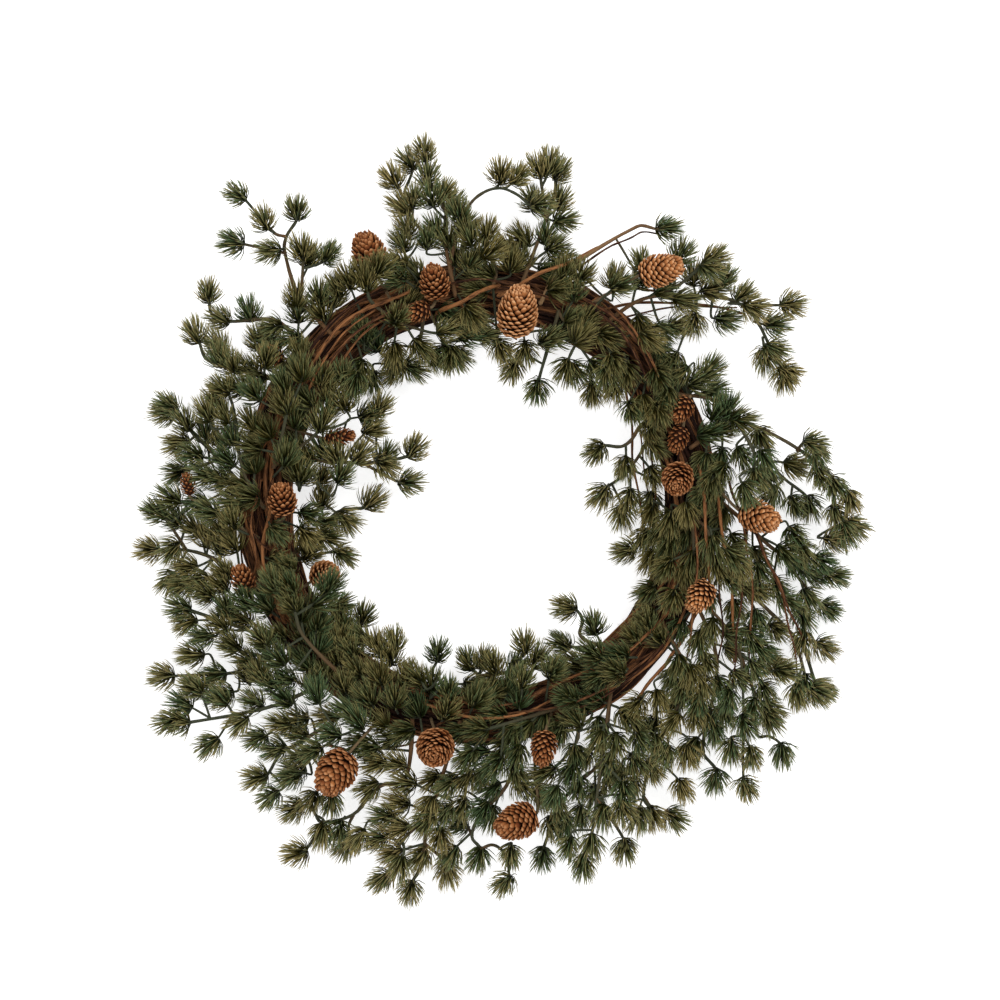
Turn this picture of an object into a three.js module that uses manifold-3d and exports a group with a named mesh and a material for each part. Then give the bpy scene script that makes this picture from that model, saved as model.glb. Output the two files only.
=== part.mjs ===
// A fresh evergreen wreath, lying on its back: a ring of wound vine canes, dressed with branching
// evergreen sprays whose twigs end in tufts of needles, and with small woody cones on stalks.
//
// Millimetres. +X is the wreath's right, +Y its top and +Z its front. The origin is the middle of the
// wreath, on the surface that it lies on.
import * as THREE from "three";
import Module from "manifold-3d";

const wasm = await Module();
wasm.setup();

// The layout is drawn on a square grid, counted to the right and down.
const GRID = 0.85; // side of one square
const GRID_MIDDLE = { x: 500, y: 521 }; // the grid point above the origin

// The ring: canes wound round a middle line, each passing three times round the wreath.
const RING_MIDDLE = [478, 503]; // on the grid
const RING_RADIUS = 181;
const CANE_RADIUS = 5.75;
const WINDING = 17.5; // from the middle line to a cane's own
const CANE_PLACES = 9;
const PASSES = 3;
const TURNS_A_PASS = 1 + 1 / PASSES; // windings in one pass, so that three passes close on each other
const PASS_STEPS = 18;
const CANE_SIDES = 5;
const CANE_ROLL = 38; // degrees that set an edge of each cane against its neighbours
const CANE_END = 0.1; // radians left open between the two ends of a cane
const CANE_END_TAPER = 0.7; // thickness of an end, as a share
const CANE_STARTS = [5, 12, 19]; // where each cane starts, in steps round the ring
const WORN_FLAT = 1; // depth that the ring's back is pressed flat
const SLAB_DEPTH = 50; // of the slab that presses it

// Stems and twigs
const STEM_ROOT = 2.3;
const STEM_TIP = 1.5;
const TWIG_RADIUS = 1.4;
const TWIG_REACH = 12; // a twig leaves its stem about this far behind its tuft
const STEM_SIDES = 3;
const SEAT_RADIUS = 1.1; // of a root, where it starts to taper
const ROOT_LENGTH = 4; // a root tapers to its point over this length
const SEAT_GAP = 0.4; // between a root's point and the cane under it
const SEAT_BAND = 11; // roots stand within this distance of the ring's middle line,
const SEAT_SEARCH = 6; // moved by up to this much to the crown of a cane
const LEAST_BEND = 2; // a slighter bend in a stem is left out
const STEM_RISE = 5; // a stem lies at least this far above the canes

// Tufts of needles
const NEEDLE_LENGTH = 22;
const CORE_RADIUS = 2.7;
const CORE_STEP = 2.4; // from one ring of the core to the next
const HEART_LENGTH = 9; // the middle of a tuft, which no stem crosses
const HEART_RADIUS = 3.5;
const NEEDLE_ROOT = 2;
const NEEDLE_TIP = 0.2;
const CLEARANCE = 0.5;

// Cones
const SCALE_LIFT = 4; // of the middle of a scale
const SCALE_LEAN = 0.08; // that the middle leans towards the tip, as a share of the cone's length
const STALK_HEEL = 3; // a stalk runs straight for this far behind its cone
const STALK_SUNK = 4; // and this far into it

const HIGH = 500; // beyond everything
const UP = new THREE.Vector3(0, 0, 1);
const DEGREE = Math.PI / 180;
const TUFT_TURN = 50 * DEGREE; // the sharpest turn from a twig to its tuft

// Each spray is one branching piece. A stem lists the grid points that it runs through, from its
// root or fork to the tuft at its tip, with that tuft's heading in degrees and its height above the
// surface. The other tufts are [across, down, heading], on twigs that leave the nearest stem.
const stem = (heading, height, ...path) => ({ heading, height, path });

const SPRAYS = {
  upper_left_corner: {
    stems: [
      stem(97, 50, [322, 322], [301, 298], [292, 272], [286, 252], [288, 237], [299, 219]),
      stem(150, 60, [288, 237], [276, 234], [266, 226], [256, 213], [246, 200]),
      stem(170, 40, [286, 252], [272, 247], [258, 245], [243, 244]),
      stem(100, 64, [301, 298], [302, 280], [305, 260]),
    ],
    tufts: [[269, 229, 112], [280, 251, 190], [298, 306, 93], [327, 262, 55], [341, 295, 108]],
  },
  upper_left: {
    stems: [stem(93, 34, [294, 336], [282, 323], [268, 319], [250, 320], [228, 321], [213, 314], [210, 300])],
    tufts: [[252, 319, 105], [228, 322, 150], [281, 326, 200]],
  },
  left_shoulder: {
    stems: [stem(115, 56, [290, 392], [280, 380], [267, 377], [250, 376], [230, 370], [211, 361], [201, 341])],
    tufts: [[223, 364, 100], [256, 373, 150], [266, 379, 200]],
  },
  left_outer: {
    stems: [
      stem(180, 28, [258, 506], [240, 482], [222, 457], [205, 438], [190, 424], [173, 412]),
      stem(190, 18, [222, 457], [208, 464], [186, 470]),
      stem(145, 66, [258, 506], [245, 470], [240, 440], [237, 412], [230, 392]),
    ],
    tufts: [
      [176, 408, 148], [190, 428, 118], [188, 441, 192], [202, 456, 165],
      [229, 480, 165], [230, 421, 115],
    ],
  },
  left_middle: {
    stems: [
      stem(178, 26, [262, 592], [240, 573], [214, 557], [186, 549], [157, 549]),
      stem(150, 42, [186, 549], [175, 532], [165, 515]),
    ],
    tufts: [[200, 532, 140], [196, 566, 182], [191, 582, 192], [225, 536, 115]],
  },
  left_low: {
    stems: [
      stem(168, 44, [290, 664], [255, 642], [232, 628], [210, 616], [190, 608]),
      stem(180, 20, [290, 664], [262, 668], [232, 667], [205, 666], [188, 669], [172, 675]),
    ],
    tufts: [
      [196, 619, 195], [213, 634, 185], [230, 612, 110], [203, 653, 178], [207, 684, 180],
      [250, 679, 100],
    ],
  },
  left_foot: {
    stems: [stem(175, 54, [312, 704], [280, 702], [248, 708], [218, 714], [190, 720])],
    tufts: [[219, 737, 215], [248, 716, 215], [262, 702, 150], [290, 722, 175]],
  },
  bottom_left: {
    stems: [stem(178, 30, [350, 733], [320, 736], [298, 742], [281, 752], [272, 764], [266, 775])],
    tufts: [[283, 746, 190], [277, 790, 215], [303, 770, 172], [316, 792, 238]],
  },
  bottom_left_long: {
    stems: [
      stem(
        220, 30,
        [408, 730], [410, 760], [402, 780], [385, 782], [372, 791], [354, 812], [322, 820], [313, 808], [301, 804],
      ),
      stem(190, 44, [322, 820], [315, 836], [306, 848]),
      stem(225, 16, [354, 812], [349, 824], [350, 838]),
    ],
    tufts: [[324, 823, 262], [332, 792, 268]],
  },
  bottom_near: {
    stems: [
      stem(262, 44, [458, 738], [443, 785], [430, 815], [426, 842], [420, 866], [412, 880]),
      stem(220, 58, [430, 815], [414, 826], [400, 842], [388, 870]),
      stem(262, 28, [426, 842], [438, 852], [447, 862]),
    ],
    tufts: [
      [408, 801, 172], [408, 825, 187], [432, 796, 250], [401, 847, 200],
      [425, 848, 232], [441, 827, 262], [364, 828, 235],
    ],
  },
  bottom_middle: {
    stems: [
      stem(
        235, 40,
        [522, 738], [508, 780], [491, 800], [480, 813], [472, 834], [481, 847],
      ),
      stem(225, 56, [481, 847], [493, 842], [504, 850], [509, 873]),
      stem(200, 26, [472, 834], [466, 824]),
    ],
    tufts: [[511, 844, 268], [465, 797, 250], [486, 801, 230]],
  },
  bottom_fringe: {
    stems: [
      stem(265, 26, [632, 712], [600, 758], [576, 782], [560, 804], [550, 828], [543, 848]),
      stem(268, 58, [632, 712], [612, 765], [604, 788], [598, 812], [591, 832]),
      stem(268, 44, [604, 788], [615, 812], [624, 838]),
    ],
    tufts: [
      [566, 816, 262], [556, 800, 285], [583, 853, 268], [603, 803, 262], [638, 806, 262],
      [622, 781, 270],
    ],
  },
  bottom_right: {
    stems: [
      stem(290, 34, [706, 650], [690, 685], [672, 712], [660, 740], [648, 768], [643, 796], [650, 807]),
      stem(320, 20, [643, 796], [656, 811], [667, 812]),
    ],
    tufts: [[679, 779, 290], [686, 744, 272], [634, 776, 255], [667, 745, 250]],
  },
  lower_right: {
    stems: [
      stem(262, 30, [716, 596], [716, 660], [707, 710], [702, 748], [711, 759], [716, 769]),
      stem(290, 62, [716, 596], [734, 640], [741, 690], [742, 745], [741, 776]),
      stem(238, 44, [734, 640], [752, 690], [756, 733], [768, 734], [780, 743]),
    ],
    tufts: [
      [705, 706, 280], [696, 738, 250], [729, 738, 270], [748, 745, 275], [763, 702, 320],
      [728, 690, 260], [750, 660, 300],
    ],
  },
  right_low: {
    stems: [
      stem(322, 26, [716, 548], [752, 590], [780, 618], [798, 640], [808, 660], [816, 683]),
      stem(268, 48, [798, 640], [803, 658], [803, 674]),
    ],
    tufts: [[803, 632, 262], [817, 642, 330], [770, 624, 325], [764, 655, 320]],
  },
  right_middle: {
    stems: [
      stem(345, 40, [716, 486], [742, 520], [778, 552], [810, 560], [827, 573]),
      stem(335, 22, [778, 552], [800, 582], [822, 605]),
    ],
    tufts: [[803, 590, 300], [791, 560, 320], [814, 556, 330], [788, 528, 305], [800, 610, 290]],
  },
  right_tip: {
    stems: [
      stem(
        345, 40,
        [700, 444], [722, 424], [745, 422], [766, 433], [790, 444], [812, 459], [832, 479], [843, 495], [846, 521],
      ),
      stem(350, 56, [790, 444], [803, 441]),
      stem(268, 24, [766, 433], [776, 470], [790, 482], [808, 497]),
    ],
    tufts: [
      [785, 462, 345], [815, 468, 292], [830, 478, 290], [841, 524, 285],
      [812, 446, 290], [825, 537, 350], [756, 430, 292],
    ],
  },
  right_upper: {
    stems: [stem(280, 66, [692, 386], [716, 402], [735, 425], [750, 448], [752, 470])],
    tufts: [[703, 375, 45], [704, 392, 5], [724, 415, 80], [733, 419, 350], [758, 452, 290], [656, 346, 300]],
  },
  upper_right: {
    stems: [
      stem(
        335, 44,
        [606, 320], [640, 300], [680, 296], [718, 300], [742, 306], [753, 322], [763, 342], [780, 368],
      ),
      stem(0, 60, [742, 306], [766, 307], [780, 306]),
      stem(25, 66, [640, 300], [674, 288], [692, 274], [705, 263]),
    ],
    tufts: [
      [702, 291, 5], [765, 325, 5], [766, 346, 330], [763, 350, 278],
      [781, 370, 280], [676, 262, 60], [701, 268, 330], [716, 318, 350],
    ],
  },
  arch: {
    stems: [stem(5, 62, [542, 298], [554, 280], [572, 267], [600, 250], [617, 240], [636, 228], [657, 231])],
    tufts: [[612, 287, 80], [641, 271, 100], [578, 283, 65]],
  },
  top_right: {
    stems: [
      stem(65, 36, [522, 280], [526, 268], [536, 246], [546, 218], [554, 196], [556, 178]),
      stem(100, 54, [546, 218], [541, 200], [540, 178]),
    ],
    tufts: [[535, 207, 115], [557, 208, 70], [527, 244, 135], [548, 251, 20], [522, 268, 100]],
  },
  top_left: {
    stems: [
      stem(100, 44, [456, 300], [450, 268], [445, 240], [446, 214], [438, 194], [428, 178], [426, 160]),
      stem(185, 30, [445, 240], [424, 232], [409, 214], [404, 196], [411, 180], [413, 168]),
      stem(40, 64, [450, 268], [458, 232], [470, 206], [484, 194], [500, 190], [516, 196], [532, 208]),
    ],
    tufts: [
      [428, 184, 88], [408, 212, 132], [433, 206, 95], [448, 212, 60], [460, 233, 45],
      [405, 250, 110], [428, 248, 90], [456, 264, 85], [420, 283, 138], [500, 184, 85],
    ],
  },
  top_middle: {
    stems: [stem(85, 60, [492, 286], [496, 272], [489, 254], [486, 243])],
    tufts: [[510, 270, 88], [474, 276, 110]],
  },
  ring_top: {
    stems: [
      stem(90, 70, [398, 334], [386, 314], [372, 302], [369, 291]),
      stem(20, 62, [398, 334], [420, 330], [440, 334]),
    ],
    tufts: [[408, 306, 60], [365, 340, 100], [395, 345, 270], [455, 322, 350]],
  },
  inner_top: {
    stems: [
      stem(262, 40, [560, 308], [550, 340], [543, 364], [538, 381]),
      stem(320, 56, [560, 308], [572, 335], [590, 362]),
    ],
    tufts: [[515, 362, 250], [525, 344, 268], [567, 362, 258], [591, 384, 272], [566, 322, 25], [600, 335, 345]],
  },
  inner_top_left: {
    stems: [
      stem(215, 30, [428, 316], [420, 340], [410, 356], [400, 368]),
      stem(292, 46, [428, 316], [440, 332], [444, 347]),
    ],
    tufts: [[408, 366, 335], [452, 350, 318], [395, 352, 262]],
  },
  inner_left: {
    stems: [
      stem(78, 40, [318, 466], [342, 462], [366, 462], [392, 456], [410, 455]),
      stem(5, 24, [366, 462], [388, 474], [401, 482]),
    ],
    tufts: [[362, 416, 20], [366, 432, 20], [382, 462, 62], [380, 462, 330]],
  },
  inner_left_low: {
    stems: [
      stem(45, 26, [286, 560], [314, 538], [338, 511], [367, 506]),
      stem(330, 44, [286, 560], [314, 556], [338, 550]),
    ],
    tufts: [[322, 536, 350], [340, 513, 320], [322, 505, 80]],
  },
  inner_foot: {
    stems: [
      stem(75, 34, [318, 656], [344, 636], [362, 622]),
      stem(100, 54, [360, 700], [374, 674], [388, 662], [397, 646]),
    ],
    tufts: [[334, 606, 20], [380, 651, 110], [405, 681, 78], [340, 660, 100]],
  },
  inner_bottom: {
    stems: [
      stem(112, 30, [508, 708], [490, 697], [474, 688], [478, 674], [471, 667]),
      stem(100, 48, [478, 674], [496, 669], [509, 669], [518, 659], [525, 649]),
      stem(85, 40, [474, 688], [456, 686], [444, 680], [433, 672], [438, 658]),
    ],
    tufts: [[482, 665, 72], [534, 664, 65], [490, 692, 40], [432, 690, 85]],
  },
  inner_bottom_right: {
    stems: [
      stem(178, 38, [660, 648], [627, 643], [600, 643], [580, 634], [582, 618], [574, 607]),
      stem(150, 24, [600, 643], [584, 646], [568, 646]),
    ],
    tufts: [[595, 631, 105], [582, 664, 165]],
  },
  inner_right: {
    stems: [
      stem(228, 44, [662, 408], [640, 425], [630, 440], [620, 446], [601, 445]),
      stem(235, 28, [662, 408], [642, 445], [628, 470], [606, 487]),
    ],
    tufts: [[625, 458, 262], [630, 490, 262], [622, 506, 268]],
  },
  inner_right_low: {
    stems: [
      stem(192, 30, [668, 504], [652, 524], [644, 538], [633, 548]),
      stem(215, 46, [668, 504], [664, 548], [652, 586]),
    ],
    tufts: [[645, 530, 255], [652, 610, 220], [664, 560, 240]],
  },
  ring_left: {
    stems: [
      stem(110, 66, [300, 470], [294, 440], [290, 412]),
      stem(80, 58, [300, 470], [314, 448], [322, 430]),
    ],
    tufts: [[262, 400, 130], [300, 478, 95], [272, 436, 130], [340, 480, 60], [330, 400, 80], [305, 380, 100]],
  },
  ring_foot: {
    stems: [
      stem(120, 60, [340, 690], [318, 660], [300, 632], [292, 606]),
      stem(170, 66, [340, 690], [360, 712], [356, 726], [340, 732]),
    ],
    tufts: [[268, 640, 125], [318, 628, 75], [286, 660, 130], [320, 698, 100], [372, 700, 120], [330, 590, 60]],
  },
  ring_bottom: {
    stems: [
      stem(180, 64, [560, 712], [530, 716], [505, 722], [486, 726]),
      stem(200, 58, [560, 712], [578, 730], [566, 752], [552, 766]),
    ],
    tufts: [[420, 712, 110], [462, 728, 200], [500, 756, 230], [520, 744, 250], [585, 708, 150], [600, 730, 250]],
  },
  ring_right: {
    stems: [
      stem(270, 62, [690, 514], [692, 532], [692, 552]),
      stem(285, 66, [690, 514], [706, 530], [712, 556]),
    ],
    tufts: [[670, 512, 260], [735, 560, 285], [730, 535, 300], [668, 560, 230]],
  },
};

// Each cone node is one stalk, rooted on the ring at a grid point, with one or two cones. A cone has
// its middle's grid place and height above the surface, its heading and its tilt towards the front,
// both in degrees, and its length and width.
const cone = (x, y, height, heading, tilt, length, width) => ({ x, y, height, heading, tilt, length, width });

const CONES = {
  cone_top: { root: [506, 304], cones: [cone(518, 311, 78, 80, 35, 47, 34)] },
  cone_top_right: { root: [592, 290], cones: [cone(660, 272, 84, 15, 10, 38, 28)] },
  cone_top_left: { root: [392, 300], cones: [cone(370, 254, 64, 110, 20, 36, 30)] },
  cone_pair_top: {
    root: [440, 300],
    cones: [cone(435, 283, 66, 100, 30, 30, 26), cone(418, 313, 64, 200, 15, 22, 18)],
  },
  cone_left_shoulder: { root: [298, 362], cones: [cone(272, 355, 58, 165, 10, 22, 18)] },
  cone_left: { root: [256, 536], cones: [cone(190, 482, 50, 100, 10, 20, 14)] },
  cone_left_front: { root: [270, 528], cones: [cone(285, 498, 76, 95, 25, 28, 25)] },
  cone_inner_left: { root: [290, 596], cones: [cone(327, 573, 58, 20, 60, 28, 25)] },
  cone_left_low: { root: [266, 572], cones: [cone(245, 577, 60, 110, 15, 27, 21)] },
  cone_bottom_left: { root: [386, 712], cones: [cone(337, 769, 74, 235, 20, 40, 34)] },
  cone_bottom: { root: [432, 716], cones: [cone(436, 744, 78, 260, 65, 34, 32)] },
  cone_bottom_middle: { root: [556, 722], cones: [cone(543, 746, 66, 262, 25, 32, 23)] },
  cone_bottom_right: { root: [534, 724], cones: [cone(516, 818, 62, 205, 20, 36, 31)] },
  cone_pair_right: {
    root: [700, 400],
    cones: [cone(679, 410, 66, 235, 20, 24, 20), cone(676, 440, 62, 250, 15, 24, 18)],
  },
  cone_inner_right: { root: [690, 462], cones: [cone(675, 479, 78, 255, 60, 30, 27)] },
  cone_right: { root: [706, 466], cones: [cone(757, 516, 72, 340, 15, 36, 28)] },
  cone_right_low: { root: [708, 566], cones: [cone(697, 595, 74, 235, 25, 30, 24)] },
  cone_inner_shade: { root: [320, 440], cones: [cone(343, 436, 54, 5, 15, 28, 17)] },
};

const BARK = new THREE.MeshStandardMaterial({ color: 0x4a3526, roughness: 0.85, metalness: 0 });
const FOLIAGE = new THREE.MeshStandardMaterial({ color: 0x474a2e, roughness: 0.65, metalness: 0 });
const SCALES = new THREE.MeshStandardMaterial({ color: 0x9b6840, roughness: 0.75, metalness: 0 });

const RING_SPAN = WINDING + CANE_RADIUS; // from the middle line to the outside of the ring
const RING_HEIGHT = WINDING + CANE_RADIUS * Math.cos(Math.PI / CANE_SIDES) - WORN_FLAT;

// A grid place as a point at a given height.
function onGrid([x, y], height = 0) {
  return new THREE.Vector3((x - GRID_MIDDLE.x) * GRID, (GRID_MIDDLE.y - y) * GRID, height);
}

const ringCentre = onGrid(RING_MIDDLE, RING_HEIGHT);

// How far a point is outside the ring's rounded bundle of canes.
function gapToRing(point) {
  const across = Math.hypot(point.x - ringCentre.x, point.y - ringCentre.y) - RING_RADIUS;
  return Math.hypot(across, point.z - ringCentre.z) - RING_SPAN;
}

// The height of the top of the bundle above a place, or 0 beside it.
function ringTop(point) {
  const across = Math.hypot(point.x - ringCentre.x, point.y - ringCentre.y) - RING_RADIUS;
  if (Math.abs(across) >= RING_SPAN) return 0;
  return ringCentre.z + Math.sqrt(RING_SPAN ** 2 - across ** 2);
}

// A direction from a heading in the layout and a tilt towards the front, in degrees.
function direction(heading, tilt) {
  const flat = Math.cos(tilt * DEGREE);
  return new THREE.Vector3(
    Math.cos(heading * DEGREE) * flat,
    Math.sin(heading * DEGREE) * flat,
    Math.sin(tilt * DEGREE),
  );
}

// A repeatable run of draws from 0 to 1, by a linear congruence.
function drawsFrom(seed) {
  let state = (seed * 2654435 + 12345) % 4294967296;
  return () => {
    state = (1664525 * state + 1013904223) % 4294967296;
    return state / 4294967296;
  };
}

// A closed body that is built up ring by ring.
class Shell {
  constructor() {
    this.points = [];
    this.faces = [];
  }

  point(place) {
    this.points.push(place.clone());
    return this.points.length - 1;
  }

  // A ring of points round a centre, square to an axis, the first one towards `across`.
  ring(centre, axis, across, radius, sides, turn = 0) {
    const side = new THREE.Vector3().crossVectors(axis, across).normalize();
    const out = new THREE.Vector3().crossVectors(side, axis).normalize();
    return Array.from({ length: sides }, (_, i) => {
      const angle = ((i + turn) / sides) * 2 * Math.PI;
      const place = centre.clone();
      place.addScaledVector(out, radius * Math.cos(angle));
      place.addScaledVector(side, radius * Math.sin(angle));
      return this.point(place);
    });
  }

  // A band between two rings of the same count. The two triangles at each side share the diagonal.
  band(lower, upper) {
    const first = this.faces.length;
    lower.forEach((a, i) => {
      const next = (i + 1) % lower.length;
      this.faces.push([a, lower[next], upper[i]]);
      this.faces.push([upper[i], lower[next], upper[next]]);
    });
    return Array.from({ length: 2 * lower.length }, (_, i) => first + i);
  }

  // A fan that closes a ring with a point ahead of it, or behind it.
  fan(ring, tip, ahead = true) {
    const first = this.faces.length;
    ring.forEach((a, i) => {
      const b = ring[(i + 1) % ring.length];
      this.faces.push(ahead ? [a, b, tip] : [b, a, tip]);
    });
    return Array.from({ length: ring.length }, (_, i) => first + i);
  }

  centroid(face) {
    const [a, b, c] = this.faces[face].map((i) => this.points[i]);
    return new THREE.Vector3().add(a).add(b).add(c).divideScalar(3);
  }

  // Raises one face to a point.
  raise(face, apex) {
    const [a, b, c] = this.faces[face];
    const tip = this.point(apex);
    this.faces[face] = [a, b, tip];
    this.faces.push([b, c, tip], [c, a, tip]);
  }

  solid() {
    const vertProperties = new Float32Array(this.points.flatMap((p) => [p.x, p.y, p.z]));
    const triVerts = new Uint32Array(this.faces.flat());
    return new wasm.Manifold(new wasm.Mesh({ numProp: 3, vertProperties, triVerts }));
  }
}

// A mesh of a solid, whose own origin is at `origin`.
function meshOf(name, solid, origin, material) {
  const { vertProperties, triVerts } = solid.getMesh();
  const geometry = new THREE.BufferGeometry();
  geometry.setAttribute("position", new THREE.BufferAttribute(new Float32Array(vertProperties), 3));
  geometry.setIndex(new THREE.BufferAttribute(new Uint32Array(triVerts), 1));
  geometry.translate(-origin.x, -origin.y, -origin.z);
  const mesh = new THREE.Mesh(geometry, material);
  mesh.name = name;
  mesh.position.copy(origin);
  return mesh;
}

// ---- The ring of canes ----

// A cane's middle at one angle round the ring, and its direction outwards from the bundle.
function canePlace(angle, place) {
  const phase = (place / CANE_PLACES) * 2 * Math.PI + TURNS_A_PASS * angle;
  const radial = new THREE.Vector3(Math.cos(angle), Math.sin(angle), 0);
  const out = radial.clone().multiplyScalar(Math.cos(phase)).addScaledVector(UP, Math.sin(phase));
  const middle = ringCentre.clone().addScaledVector(radial, RING_RADIUS).addScaledVector(out, WINDING);
  return { middle, out };
}

// One cane, from one tapered end three times round the ring to the other.
function caneSolid(place, start) {
  const shell = new Shell();
  const steps = PASSES * PASS_STEPS;
  const stepAngle = (2 * Math.PI) / PASS_STEPS;
  const joints = Array.from({ length: steps + 1 }, (_, i) => {
    return canePlace((start + i) * stepAngle, place);
  });
  const slope = (i) => {
    const before = joints[Math.max(i - 1, 0)].middle;
    const after = joints[Math.min(i + 1, steps)].middle;
    return after.clone().sub(before).normalize();
  };
  const roll = CANE_ROLL / 360 * CANE_SIDES;
  const rings = joints.slice(0, steps).map((joint, i) => {
    const radius = i === 0 ? CANE_RADIUS * CANE_END_TAPER : CANE_RADIUS;
    return shell.ring(joint.middle, slope(i), joint.out, radius, CANE_SIDES, roll);
  });
  const share = 1 - CANE_END / stepAngle;
  const last = joints[steps - 1].middle.clone().lerp(joints[steps].middle, share);
  rings.push(shell.ring(last, slope(steps), joints[steps].out, CANE_RADIUS * CANE_END_TAPER, CANE_SIDES, roll));
  rings.slice(1).forEach((ring, i) => shell.band(rings[i], ring));
  shell.fan(rings[0], shell.point(joints[0].middle.clone().addScaledVector(slope(0), -1)), false);
  shell.fan(rings.at(-1), shell.point(last.clone().addScaledVector(slope(steps), 1)));
  return shell.solid();
}

// A slab just under the surface that the ring lies on.
function slabBelow() {
  const shell = new Shell();
  const top = new THREE.Vector3();
  const bottom = new THREE.Vector3(0, 0, -SLAB_DEPTH);
  const across = new THREE.Vector3(1, 0, 0);
  const lower = shell.ring(bottom, UP, across, HIGH, 4);
  const upper = shell.ring(top, UP, across, HIGH, 4);
  shell.band(lower, upper);
  shell.fan(lower, shell.point(bottom), false);
  shell.fan(upper, shell.point(top));
  return shell.solid();
}

const slab = slabBelow();
const caneMeshes = CANE_STARTS.map((start, place) => {
  return meshOf(`vine_cane_${place + 1}`, caneSolid(place, start).subtract(slab), ringCentre, BARK);
});
caneMeshes.forEach((mesh) => mesh.updateMatrixWorld());

// The seat of a root: just clear of the crown of a cane, near a place above the ring's middle band.
function seatNear(place) {
  const across = new THREE.Vector3(place.x - ringCentre.x, place.y - ringCentre.y, 0);
  across.clampLength(RING_RADIUS - SEAT_BAND, RING_RADIUS + SEAT_BAND);
  const shifts = Array.from({ length: 2 * SEAT_SEARCH + 1 }, (_, i) => i - SEAT_SEARCH);
  const hits = shifts.flatMap((shift) => {
    const above = across.clone().setLength(across.length() + shift).add(ringCentre).setZ(HIGH);
    const found = new THREE.Raycaster(above, UP.clone().negate()).intersectObjects(caneMeshes);
    return found.slice(0, 1).map((hit) => hit.point);
  });
  const crown = hits.reduce((best, point) => (point.z > best.z ? point : best));
  return crown.addScaledVector(UP, SEAT_GAP);
}

// ---- Room among the pieces ----

// Everything that is laid, as tapered rods from a to b, with their radii, piece and shoot.
const rods = [];

// The gap between two tapered rods, where their middle lines come nearest.
function gapBetween(p, q) {
  const u = p.b.clone().sub(p.a);
  const v = q.b.clone().sub(q.a);
  const w = p.a.clone().sub(q.a);
  const uu = u.dot(u);
  const uv = u.dot(v);
  const vv = v.dot(v);
  const uw = u.dot(w);
  const vw = v.dot(w);
  const spread = uu * vv - uv * uv;
  let s = spread > 1e-9 ? THREE.MathUtils.clamp((uv * vw - vv * uw) / spread, 0, 1) : 0;
  const t = THREE.MathUtils.clamp((uv * s + vw) / vv, 0, 1);
  s = THREE.MathUtils.clamp((uv * t - uw) / uu, 0, 1);
  const apart = w.addScaledVector(u, s).addScaledVector(v, -t).length();
  return apart - THREE.MathUtils.lerp(p.ra, p.rb, s) - THREE.MathUtils.lerp(q.ra, q.rb, t);
}

// Whether a rod has room: above the surface, outside the ring and clear of every rod that
// `matters`.
function hasRoom(rod, matters) {
  for (const share of [0, 0.25, 0.5, 0.75, 1]) {
    const place = rod.a.clone().lerp(rod.b, share);
    const radius = THREE.MathUtils.lerp(rod.ra, rod.rb, share);
    if (place.z - radius < 1 || gapToRing(place) - radius < CLEARANCE) return false;
  }
  const reach = rod.a.distanceTo(rod.b) / 2 + Math.max(rod.ra, rod.rb) + CLEARANCE;
  const middle = rod.a.clone().lerp(rod.b, 0.5);
  return rods.every((other) => {
    if (!matters(other)) return true;
    const otherReach = other.a.distanceTo(other.b) / 2 + Math.max(other.ra, other.rb);
    const otherMiddle = other.a.clone().lerp(other.b, 0.5);
    if (middle.distanceTo(otherMiddle) > reach + otherReach) return true;
    return gapBetween(rod, other) >= CLEARANCE;
  });
}

// ---- Cones ----

// A cone's half width at a share of its length: blunt at the base and narrowing to the tip.
function coneSwell(share) {
  return Math.sin(Math.PI * Math.min(0.5, 0.18 + share * 0.8)) * Math.sqrt(Math.max(0, 1 - share ** 2.2));
}

// A cone of overlapping scales: a lattice of diamonds, each raised at its middle towards the tip.
function coneSolid({ length, width }, base, axis) {
  const shell = new Shell();
  const sides = 5;
  const rows = width > 24 ? 5 : 4;
  const core = width / 2 - SCALE_LIFT;
  const rings = Array.from({ length: rows + 1 }, (_, row) => {
    const share = row / (rows + 0.6);
    const centre = base.clone().addScaledVector(axis, share * length);
    return shell.ring(centre, axis, UP, core * coneSwell(share) + 0.6, sides, (row % 2) / 2);
  });
  const foot = shell.point(base.clone().addScaledVector(axis, -1.5));
  shell.fan(rings[0], foot, false);
  const tip = shell.point(base.clone().addScaledVector(axis, length));
  // The scales: the diamond round each side of a ring, from the ring below it to the ring above it.
  rings.forEach((ring, row) => {
    const even = row % 2 === 0;
    const above = rings[row + 1];
    const below = rings[row - 1];
    ring.forEach((a, i) => {
      const b = ring[(i + 1) % sides];
      const top = above ? above[even ? i : (i + 1) % sides] : tip;
      const bottom = below ? below[even ? i : (i + 1) % sides] : null;
      if (bottom === null) {
        shell.faces.push([a, b, top]);
        return;
      }
      const centre = shell.points[a].clone().lerp(shell.points[b], 0.5);
      const inside = base.clone().addScaledVector(axis, centre.clone().sub(base).dot(axis));
      const out = centre.clone().sub(inside).normalize();
      centre.addScaledVector(out, SCALE_LIFT).addScaledVector(axis, SCALE_LEAN * length);
      const middle = shell.point(centre);
      shell.faces.push([a, middle, top], [middle, b, top], [middle, a, bottom], [b, middle, bottom]);
    });
  });
  return shell.solid();
}

// A bent tapered rod with flat sides. Both ends come to a point.
function rodSolid(path, radii, sides) {
  const shell = new Shell();
  const rings = pathRings(shell, path.slice(1, -1), radii, sides, path[0], path.at(-1));
  shell.fan(rings[0], shell.point(path[0]), false);
  shell.fan(rings.at(-1), shell.point(path.at(-1)));
  return shell.solid();
}

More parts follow.
